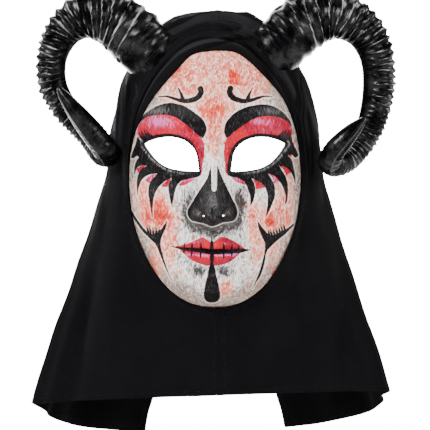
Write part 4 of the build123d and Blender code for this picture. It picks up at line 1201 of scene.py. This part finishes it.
# folds as seen from the front: a line, its height in millimetres (below 0 for a valley) and its half width
FRONT_FOLDS = (
    ([(-54, 112), (-37, 120), (-14, 130), (9, 134), (34, 129), (52, 114)], 4.2, 4.0),
    ([(-48, 122), (-24, 134), (2, 139), (28, 138), (46, 128)], -2.6, 3.0),
    ([(-50, 88), (-32, 98), (-14, 106), (14, 115), (34, 124), (44, 131)], 2.6, 2.8),
    ([(-40, 86), (-18, 97), (6, 106), (30, 112), (50, 110)], -2.4, 2.4),
    ([(-40, 132), (-16, 142), (10, 144), (34, 140)], 3.6, 4.0),
    ([(-52, 130), (-20, 135), (15, 134), (31, 125.5), (46.5, 111.6), (58.6, 92), (71.6, 63.2), (75.3, 41)], 2.6, 3.2),
    ([(0, 128.3), (18, 116), (36, 97), (50, 76), (58, 62)], -2.6, 3.2),
    ([(0, 128.3), (-18, 124), (-36, 112), (-48, 100)], -1.8, 4.0),
    ([(-86.3, 82.8), (-88.5, 67.4), (-89, 40), (-90.7, 13), (-86.5, -9.3), (-88, -60)], 2.6, 2.8),
    ([(-80, 79), (-81, 62), (-84, 42), (-85, 10), (-83, -30)], -2.2, 2.8),
    ([(-76.4, 74), (-74.4, 67.4), (-73.6, 58.6), (-79.7, 45.6), (-83, 23.6), (-85.7, -9.3)], 2.2, 2.6),
    ([(51.3, 94.9), (58.4, 78.3), (67.9, 71.2), (73.1, 63), (76, 50)], 2.6, 2.6),
    ([(80.7, 85.6), (84.3, 68.8), (86.7, 50.2), (85.5, 38.3), (89, 15), (90.2, -8.4), (88, -50)], 2.6, 2.8),
    ([(77.2, 50), (79, 27), (84, 0), (86, -30)], -2.2, 2.6),
    ([(94, 70), (96, 40), (99, 10), (101, -30), (106, -70)], 2.2, 3.2),
    ([(-96, 50), (-99, 10), (-103, -30), (-110, -80)], 2.0, 3.6),
    ([(-85.6, -61.4), (-78, -115.3), (-69.8, -149.7), (-66, -190)], 2.2, 9.0),
    ([(-54, -160), (-40, -170), (-27, -178.6)], -1.6, 7.0),
    ([(85.6, -29.8), (79, -115.3), (84.6, -160), (100.4, -197)], 2.4, 9.0),
    ([(17.7, -152.5), (34, -176), (57.7, -202.7)], 1.8, 7.0),
    ([(-120, -90), (-128, -150), (-132, -225)], 2.6, 11.0),
    ([(-100, -130), (-98, -180), (-100, -225)], -1.8, 10.0),
    ([(118, -80), (124, -150), (126, -225)], 2.6, 11.0),
    ([(58, -150), (52, -190), (50, -225)], -1.4, 9.0),
    ([(-22, -190), (-30, -225)], 1.2, 8.0),
    ([(6, -158), (10, -190), (14, -225)], -0.9, 6.0),
)


def drawn_folds(x, z):
    """The folds seen from the front, as a height in millimetres at each point."""
    height = np.zeros(len(x))
    places = np.stack([x, z], 1)
    for line, tall, wide in FRONT_FOLDS:
        line = smooth_run(line, 6)
        best, where = np.full(len(x), 1e9), np.zeros(len(x))
        for i in range(len(line) - 1):
            gap, t = segment_distance(places, line[i], line[i + 1])
            closer = gap < best
            best, where = np.where(closer, gap, best), np.where(closer, (i + t) / (len(line) - 1), where)
        ends = step(0, 0.2, where) * (1 - 0.8 * step(0.75, 1.0, where))
        height += tall * ends * np.exp(-((best / wide) ** 1.5))
    return height


def fold_height(x, z, turn):
    """How far the folds lift the cloth. turn is the angle round the head, 0 at the front."""
    height = drawn_folds(x, z) * step(0.15, 0.5, np.cos(turn))
    low = step(40, -230, z)
    sides = 1 - 0.82 * step(0.25, 0.8, np.cos(turn))
    drape = np.sin(9 * turn + 0.8 * np.sin(2 * turn) + 0.004 * z) + 0.5 * np.sin(17 * turn + 1.0 + 0.006 * z)
    height += 3.6 * low**1.2 * drape * sides
    height += 0.9 * np.sin(11 * turn + 0.05 * z) * np.sin(0.045 * z + 2 * turn) * (1 - step(20, -40, z)) * sides
    height += 0.5 * np.sin(0.06 * x + 0.045 * z) * np.sin(0.05 * z - 0.03 * x + 1)
    return height


def hood_grid(columns=320, rows=190, lead=4):
    """The hood's surface as a grid: rows from the crown down, columns round from the front seam."""
    steps = np.diff(HOOD_CURVE, axis=0)
    length = np.append(0, np.cumsum(np.hypot(steps[:, 0], np.hypot(steps[:, 1], 0.6 * steps[:, 2]))))
    even = np.linspace(0, length[-1], rows)
    z, *widths = (np.interp(even, length, HOOD_CURVE[:, k]) for k in range(5))
    z = np.concatenate([144.8 - 0.8 * np.linspace(0, 1, lead, endpoint=False) ** 2, z])
    wide, front, side, back = (np.concatenate([np.full(lead, v[0]), v])[:, None] for v in widths)
    shrink = np.concatenate([np.linspace(0.02, 1, lead, endpoint=False), np.ones(rows)])[:, None]
    turn = np.linspace(-pi, pi, columns + 1)[:-1] + pi / columns
    cosine, sine = np.cos(turn)[None, :], np.sin(turn)[None, :]
    y = side - np.where(cosine > 0, side - front, back - side) * cosine * shrink
    return np.stack(np.broadcast_arrays(wide * shrink * sine, y, z[:, None]), -1), np.broadcast_to(turn, y.shape)


def grid_normals(points):
    """Normals of a grid whose columns close up."""
    wrapped = np.concatenate([points[:, -1:], points, points[:, :1]], 1)
    normal = np.cross((wrapped[:, 2:] - wrapped[:, :-2]) / 2, np.gradient(points, axis=0))
    return normal / np.maximum(np.linalg.norm(normal, axis=2), 1e-9)[..., None]


def hood_kept(points, turn, side):
    """Above 0 where a panel has cloth: clear of both openings and the hem, on its own side of the seam."""
    x, y, z = points[:, 0], points[:, 1], points[:, 2]
    clear = np.where(np.cos(turn) > 0, oval_distance(x, z, 0.15), FAR)
    back = np.where(np.cos(turn) < 0.02, -inside_distance(np.stack([x, z], 1), BACK_OPENING), FAR)
    tilt = radians(2.0)
    level = z * cos(tilt) - x * sin(tilt)
    hem = level - np.interp(y, HEM[:, 0], HEM[:, 1])
    return np.minimum.reduce([clear, back, hem, side * (x - SEAM_X)])


def draped_hood():
    """The whole hood as one grid with its folds: moved points, normals, plain points and angles."""
    grid, turn = hood_grid()
    normal = grid_normals(grid).reshape(-1, 3)
    flat, turns = grid.reshape(-1, 3), turn.reshape(-1)
    lift = fold_height(flat[:, 0], flat[:, 2], turns)
    near_face = np.where(np.cos(turns) > 0, oval_distance(flat[:, 0], flat[:, 2], TAPE), FAR)
    lift = 1.5 * lift * step(-1, 7, near_face) * step(151, 140, flat[:, 2])
    lift = lift - 0.5 * np.exp(-(((flat[:, 0] - SEAM_X) / 1.2) ** 2)) * (np.cos(turns) > 0)
    moved = flat + normal * lift[:, None]
    gap = np.maximum(-inside_distance(flat[:, [0, 2]], BACK_OPENING), 0)
    sag = np.exp(-((gap / 22) ** 2)) * step(0.3, -0.1, np.cos(turns)) * step(-60, 112, flat[:, 2])
    moved[:, 1] -= 16 * sag
    moved[:, 2] -= 5 * sag
    return moved, normal, flat, turns, grid_faces(*grid.shape[:2], closed=True)


def build_hood_panel(name, side, drape):
    """One of the two panels, cut from the draped hood, with the thickness of the cloth."""
    moved, normal, flat, turns, faces = drape
    kept = hood_kept(flat, turns, side)
    cut, faces = cut_holes(np.hstack([moved, normal, kept[:, None]]), faces, kept)
    points, out = cut[:, :3], cut[:, 3:6]
    out = out / np.linalg.norm(out, axis=1)[:, None]
    edges = edge_pairs(faces)
    count = len(points)
    both = np.vstack([points, points - CLOTH * out])
    faces = [tuple(reversed(f)) for f in faces] + [tuple(i + count for i in f) for f in faces]
    faces += [(a, b, b + count, a + count) for a, b in edges]
    piece = new_mesh(name, both, faces)
    edge_points = points[sorted({i for pair in edges for i in pair})]
    tree = kdtree.KDTree(len(edge_points))
    for i, p in enumerate(edge_points):
        tree.insert(p, i)
    tree.balance()
    far = np.array([tree.find(p)[2] for p in points])
    set_field(piece, "from_edge", np.append(far, far))
    # painted highlight on the folds' crests and painted shade in their valleys, on the front, fading out lower down
    fold_light_shade = drawn_folds(points[:, 0], points[:, 2]) * (points[:, 1] < 30) * step(-110, -20, points[:, 2])
    set_field(piece, "fold_light_shade", np.append(fold_light_shade, fold_light_shade))
    return piece


WELT_ENDS, WELT_HALF_WIDTH = (-143.4, -227.6), 3.3


def build_seam():
    """The raised welt where the two panels meet, from the chin to the hem."""
    rows, columns = 150, 13
    z = np.linspace(*WELT_ENDS, rows)[:, None] + np.zeros(columns)
    t = np.linspace(-1, 1, columns)[None, :] + np.zeros((rows, 1))
    x = SEAM_X + WELT_HALF_WIDTH * t
    lift = fold_height(x.ravel(), z.ravel(), np.full(x.size, 0.03)).reshape(x.shape)
    stitches = 0.14 * np.sin(2 * pi * z / 2.6) * (abs(abs(t) - 0.68) < 0.1)
    rise = 1.25 * (1 - abs(t) ** 4) - 0.5 + stitches
    y = hood_front_y(x, z) - lift - rise
    faces = [tuple(reversed(f)) for f in grid_faces(rows, columns)]
    return new_mesh("Hood_front_welt", np.stack([x, y, z], -1).reshape(-1, 3), faces)


VISIBLE_FACE = np.vstack([
    smooth_run([(-84, -19), (-80, 4), (-75, 24), (-60, 52), (-36, 80), (-21, 95), (0, 99)], 10)[:-1],
    smooth_run([(0, 99), (20, 97), (42, 79), (64, 54), (75, 30), (80, 8), (84, -19)], 10),
])


def build_brow_roll():
    """The hood's turned-back front edge, which lies over the forehead and runs out at the temples."""
    steps = np.append(0, np.cumsum(np.linalg.norm(np.diff(VISIBLE_FACE, axis=0), axis=1)))
    even = np.linspace(steps[-1] * 0.04, steps[-1] * 0.96, 250)
    inner = np.stack([np.interp(even, steps, VISIBLE_FACE[:, k]) for k in range(2)], 1)
    ray = inner - (0, FACE_MIDDLE_Z)
    size = np.hypot(ray[:, 0] / (FACE_HALF_WIDTH + 2.2), ray[:, 1] / (FACE_ABOVE + 2.2))
    outer = (0, FACE_MIDDLE_Z) + ray / size[:, None]
    columns = 30
    v = np.append(np.linspace(0, 1, columns - 1), 1.0)
    x, z = (inner[:, None, :] + (outer - inner)[:, None, :] * v[None, :, None]).reshape(-1, 2).T
    width = np.repeat(np.linalg.norm(outer - inner, axis=1), columns)
    along, across = np.repeat(even, columns), np.tile(v, len(even))
    blend = step(0.25, 0.97, across)
    full = np.sin(pi * np.minimum(across, 1)) ** 0.36
    rise = 4.4 * np.clip(width / 13.0, 0.15, 1) * full * (1 - 0.3 * across)
    valley = across - 0.6 - 0.1 * np.sin(0.03 * along)
    rise -= 1.8 * np.exp(-((valley / 0.1) ** 2)) * np.clip(width / 16.0, 0, 1)
    rise += 0.55 * np.sin(0.11 * along + 6 * across) * np.sin(pi * across) * np.clip(width / 16.0, 0, 1)
    crossed = drawn_folds(x, z) * np.sin(pi * across) ** 0.6
    rise += 0.8 * crossed * np.clip(width / 14.0, 0, 1)
    y = (1 - blend) * (RIM_DEPTH - outer_depth(x, z)) + blend * hood_front_y(x, z) - rise - 0.25
    y = y + 3.0 * np.tile(np.arange(columns) == columns - 1, len(even))  # the last column is tucked in
    piece = new_mesh("Hood_brow_roll", np.stack([x, y, z], 1), grid_faces(len(even), columns))
    # painted highlight along the roll's bend and painted shade just past it, with the crossing folds' highlight and
    # shade
    bend = 0.5 + 0.08 * np.sin(0.02 * along)
    line = 3.0 * np.exp(-(((across - bend) / 0.07) ** 2))
    line -= 2.6 * np.exp(-(((across - bend - 0.13) / 0.09) ** 2))
    set_field(piece, "fold_light_shade", (line + crossed) * np.clip(width / 12.0, 0, 1))
    return piece


def black_cloth(name):
    """Matt black jersey with a fine knit, painted highlights on the fold crests and painted shade in their valleys,
    and stitching along its edges.
    """
    n = Nodes(name, roughness=0.86)
    knit = n.times(n.bands("X", 420, 0.6), n.bands("Z", 520, 0.6))
    cloud = n.noise(16, 4, 0.55)
    lint = n.noise(900, 2, 0.5)
    colour = n.mix(n.between(cloud, 0.3, 0.7), rgb(7, 6, 8), rgb(13, 12, 14))
    colour = n.over(colour, lint, 0.66, 0.8, 0.35, (26, 25, 27))
    # painted highlight on the fold crests and painted shade in their valleys
    fold_light_shade = n.add(n.field("fold_light_shade"), n.sway(cloud, 1.2))
    colour = n.over(colour, fold_light_shade, 0.9, 2.4, 0.8, (36, 35, 38))
    colour = n.over(colour, fold_light_shade, -0.6, -2.0, 0.9, (1, 1, 1))
    edge = n.field("from_edge")
    stitch = n.times(n.between(edge, 4.2, 4.7), n.between(edge, 5.6, 5.1))
    stitch = n.times(stitch, n.between(n.bands("DIAGONAL", 62), 0.3, 0.5))
    colour = n.mix(n.times(stitch, 0.45), colour, rgb(23, 22, 24))
    n.set("Base Color", colour)
    n.set("Roughness", n.between(cloud, 0.3, 0.7, 0.74, 0.92))
    n.set("Sheen Weight", 0.015)
    n.set("Sheen Roughness", 0.45)
    n.set("Specular IOR Level", 0.045)
    relief = n.add(n.times(knit, 0.6), n.times(stitch, 2.2))
    relief = n.add(relief, n.times(n.between(edge, 0.0, 0.9), 0.8))
    n.bump(relief, 0.5, 0.0007)
    return n.material


def build_hood():
    """The two panels, the welt between them and the roll over the brow, in one cloth."""
    cloth, drape = black_cloth("Hood_cloth"), draped_hood()
    left = build_hood_panel("Hood_left_panel", -1, drape)
    right = build_hood_panel("Hood_right_panel", 1, drape)
    welt, roll = build_seam(), build_brow_roll()
    for piece, node in (
        (left, "hood_left_panel"), (right, "hood_right_panel"), (welt, "hood_front_seam"), (roll, "hood_brow_roll"),
    ):
        finish_piece(piece, cloth, node)
    for trim in (welt, roll):
        set_field(trim, "from_edge", np.full(len(trim.data.vertices), 9.0))


# ---------------------------------------------------------------- strap, pads and fasteners
STRAP_Z = 44


def strap_line(count=300):
    """The middle of the strap's thickness from one rivet round the head to the other, with its directions."""
    wide, deep, bend = 69.25, 73.25, 30.0
    turn = np.linspace(0, pi, 200)
    arc = np.stack([wide * np.cos(turn), bend + deep * np.sin(turn)], 1)
    line = np.vstack([[(wide, -2)], arc, [(-wide, -2)]])
    length = np.append(0, np.cumsum(np.linalg.norm(np.diff(line, axis=0), axis=1)))
    even = np.linspace(0, length[-1], count)
    places = np.stack([np.interp(even, length, line[:, k]) for k in range(2)], 1)
    along = np.gradient(places, axis=0)
    along /= np.linalg.norm(along, axis=1)[:, None]
    return even, places, np.stack([along[:, 1], -along[:, 0]], 1)


def build_strap():
    """Flat ribbed elastic, 15 mm wide."""
    even, places, outward = strap_line()
    ribs = 11
    across = np.linspace(-1, 1, 8 * ribs + 1)
    crown = 0.75 * (1 - 0.55 * abs(across) ** 12)
    rib = crown - 0.16 * (0.5 + 0.5 * np.cos(2 * pi * ribs * (across + 1) / 2 + pi))
    section = [*zip(across, rib), *zip(across[::-1], -rib[::-1])]
    rows = []
    for i, (place, out) in enumerate(zip(places, outward)):
        sag = 0.25 * sin(0.05 * even[i])
        width = 7.45 + 0.06 * sin(0.9 * even[i])
        rows.append([(*(place + out * r), STRAP_Z + sag + width * t) for t, r in section])
    count = len(section)
    points = np.array(rows).reshape(-1, 3)
    faces = grid_faces(len(rows), count, closed=True)
    faces += [tuple(range(count)), tuple(reversed(range(len(points) - count, len(points))))]
    piece = new_mesh("Head_strap", points, faces)
    set_field(piece, "run", np.repeat(even, count))
    return piece


def build_pad(name, middle, size, seed):
    """A foam pad with a felt cover, crowned towards the wearer, lying against the inside of the shell."""
    rings, around = 15, 96
    turn = np.linspace(0, 2 * pi, around, endpoint=False)
    circle = np.stack([np.cos(turn), np.sin(turn)], 1)
    outline = np.sign(circle) * abs(circle) ** 0.55 * np.array(size) / 2
    layers = []
    for back in (True, False):
        shares = np.linspace(0.0, 1.0, rings) if back else np.linspace(1.0, 0.0, rings)[1:]
        for share in shares:
            flat = np.array(middle) + outline * share
            x, z = flat[:, 0], flat[:, 1]
            normal = slope_normals(dome_depth, x, z)
            outer = np.stack([x, RIM_DEPTH - dome_depth(x, z), z], 1)
            skin = RIM_DEPTH - face_depth(x, z) + SHELL_WALL + 0.5
            if back:
                full = (1 - share**3.2) ** 0.5
                dimple = 0.12 * np.sin(0.9 * x + seed) * np.sin(0.8 * z)
                near = outer - normal * (3.6 + 4.5 * full)
                near[:, 1] = np.maximum(near[:, 1] + dimple, skin + 0.4)
            else:
                near = outer - normal * 3.2
                near[:, 1] = np.maximum(skin, near[:, 1] - 0.9 * (1 - share))
            layers.append(near)
    points = np.array(layers).reshape(-1, 3)
    return new_mesh(name, points, grid_faces(len(layers), around, closed=True))


def round_head(place, axis, radius, height, cross=False):
    """A domed rivet or screw head, with a cross recess in a screw's. axis points out of the head."""
    axis = np.array(axis) / np.linalg.norm(axis)
    side = np.cross(axis, (0.31, 0.9, 0.2))
    side /= np.linalg.norm(side)
    up = np.cross(axis, side)
    rings, around = 16, 48
    points = []
    for i in range(rings + 1):
        share = i / rings
        for j in range(around):
            turn = 2 * pi * j / around
            a, b = share * cos(turn) * radius, share * sin(turn) * radius
            rise = height * (1 - share**2.6) ** 0.5 if share < 1 else 0.0
            if cross:
                arm = min(abs(a), abs(b)) / 0.55
                reach = max(abs(a), abs(b)) / (0.62 * radius)
                rise -= 1.25 * max(1 - arm**4, 0) * max(1 - reach**4, 0)
            points.append(np.array(place) + side * a + up * b + axis * rise)
    base = [p - axis * 0.6 for p in points[-around:]]
    return np.array(points + base), grid_faces(rings + 2, around, closed=True)


def joined_heads(name, heads):
    """Several heads as one mesh."""
    points, faces, start = [], [], 0
    for p, f in heads:
        points.append(p)
        faces += [tuple(i + start for i in face) for face in f]
        start += len(p)
    return new_mesh(name, np.vstack(points), faces)


BAND_RIVETS = ((65.0, 56.0), (57.0, 68.0))
RIVET = (3.6, 1.2)  # radius and height


def build_fasteners(metal):
    """Domed rivets and cross-head screws at the places of the plain ones in the CAD model."""
    inner, outer = [], []
    for side in (-1, 1):
        for x, z in BAND_RIVETS:
            at = np.array([side * x]), np.array([z])
            normal = slope_normals(dome_depth, *at, 0.01)[0]
            point = np.array([side * x, RIM_DEPTH - float(face_depth(*at)[0]), z])
            inner.append(round_head(point - normal * 5.0, -normal, *RIVET))
            outer.append(round_head(point - normal * 0.4, normal, *RIVET))
    finish_piece(joined_heads("Band_rivet_heads", inner + outer), metal, "crown_rivets")
    straps = []
    for side in (-1, 1):
        straps.append(round_head((side * 67.5, 8, STRAP_Z), (-side, 0, 0), *RIVET))
        straps.append(round_head((side * 72.5, 8, STRAP_Z), (side, 0, 0), 3.6, 1.1))
    finish_piece(joined_heads("Strap_rivet_heads", straps), metal, "strap_rivets")
    screws = []
    for _, side, slide, _, _ in HORN_SIDES:
        out, up = horn_axes(side)
        for spread in (-8.0, 8.0):
            place = out * (BAND_SEAT - 3.5) + up * slide + (0, 5 + spread, 0)
            screws.append(round_head(place, -out, 3.8, 2.4, cross=True))
    finish_piece(joined_heads("Horn_screw_heads", screws), metal, "horn_screws")


def steel():
    """Zinc-plated steel for the rivets, screws and washers."""
    n = Nodes("Zinc_steel", roughness=0.34, Metallic=1.0)
    grain = n.noise(900, 3, 0.6)
    cloud = n.noise(160, 3, 0.6)
    n.set("Base Color", n.mix(n.between(cloud, 0.35, 0.65), rgb(150, 151, 153), rgb(190, 191, 193)))
    n.set("Roughness", n.between(grain, 0.3, 0.7, 0.26, 0.46))
    n.bump(grain, 0.2, 0.0003)
    return n.material


def dark_plastic():
    """Scuffed dark plastic for the band and the horns' plugs."""
    n = Nodes("Band_plastic", roughness=0.5)
    grain = n.noise(1100, 3, 0.6)
    cloud = n.noise(40, 4, 0.6)
    scuffs = n.noise(1.0, 3, 0.6, n.moved((90, 900, 160)))
    colour = n.mix(n.between(cloud, 0.3, 0.7), rgb(18, 18, 20), rgb(30, 30, 32))
    colour = n.over(colour, scuffs, 0.62, 0.74, 0.4, (66, 66, 68))
    n.set("Base Color", colour)
    n.set("Roughness", n.between(scuffs, 0.4, 0.7, 0.42, 0.62))
    n.bump(grain, 0.35, 0.0004)
    return n.material


def elastic():
    """Black woven elastic."""
    n = Nodes("Elastic", roughness=0.85)
    place = n.node("ShaderNodeCombineXYZ")
    n.put(place.inputs[0], n.field("run"))
    threads = n.bands("X", 0.42, vector=place.outputs[0])
    rows = n.math("SINE", n.times(n.parts(n.place)["Z"], 4600.0))
    lint = n.noise(1400, 2, 0.6)
    knit = n.add(n.times(threads, 0.6), n.times(rows, 0.25))
    colour = n.mix(n.between(knit, 0.0, 0.8), rgb(13, 13, 14), rgb(34, 33, 35))
    colour = n.over(colour, lint, 0.6, 0.78, 0.4, (60, 59, 61))
    n.set("Base Color", colour)
    n.set("Specular IOR Level", 0.2)
    n.bump(n.add(knit, n.times(lint, 0.5)), 0.6, 0.0006)
    return n.material


def felt():
    """Dark felt for the pads."""
    n = Nodes("Felt_cover", roughness=0.95)
    fibres = n.noise(1.0, 5, 0.7, n.moved((1600, 1600, 600), (0, 0.5, 0.2)), distortion=0.8)
    cloud = n.noise(90, 4, 0.6)
    colour = n.mix(n.between(cloud, 0.35, 0.65), rgb(24, 24, 26), rgb(38, 37, 40))
    colour = n.over(colour, fibres, 0.5, 0.72, 0.6, (74, 72, 76))
    n.set("Base Color", colour)
    n.set("Specular IOR Level", 0.15)
    n.bump(n.add(fibres, n.times(cloud, 0.7)), 0.7, 0.0009)
    return n.material


def dress_node(name, material):
    """Gives a CAD node its material."""
    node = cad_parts[name]
    node.data.materials.clear()
    node.data.materials.append(material)


def build_small_parts():
    """The strap, the pads and the fasteners, and the materials of the CAD nodes that are shown as they are."""
    metal, plastic = steel(), dark_plastic()
    finish_piece(build_strap(), elastic(), "head_strap")
    cover = felt()
    for word, middle, size, seed in (
        ("forehead", (0, 86), (72, 24), 0.3),
        ("left_cheek", (-51, -52), (22, 40), 1.1),
        ("right_cheek", (51, -52), (22, 40), 2.3),
    ):
        pad = build_pad(f"Pad_{word}", middle, size, seed)
        finish_piece(pad, cover, f"{word}_pad")
    build_fasteners(metal)
    edge_cloth = black_cloth("Edge_tape")
    for name, material in (
        ("crown_band", plastic), ("hood_edge_tape", edge_cloth), ("horn_washers", metal), ("strap_washers", metal),
        ("left_horn_plug", plastic), ("right_horn_plug", plastic),
    ):
        dress_node(name, material)


# ---------------------------------------------------------------- the scene
def main():
    finish_piece(build_face_skin(), painted_shell(), "face_shell")
    finish_piece(build_face_lining(), bare_inside(), "face_shell")
    build_horns()
    build_hood()
    build_small_parts()
    make_stage()


main()
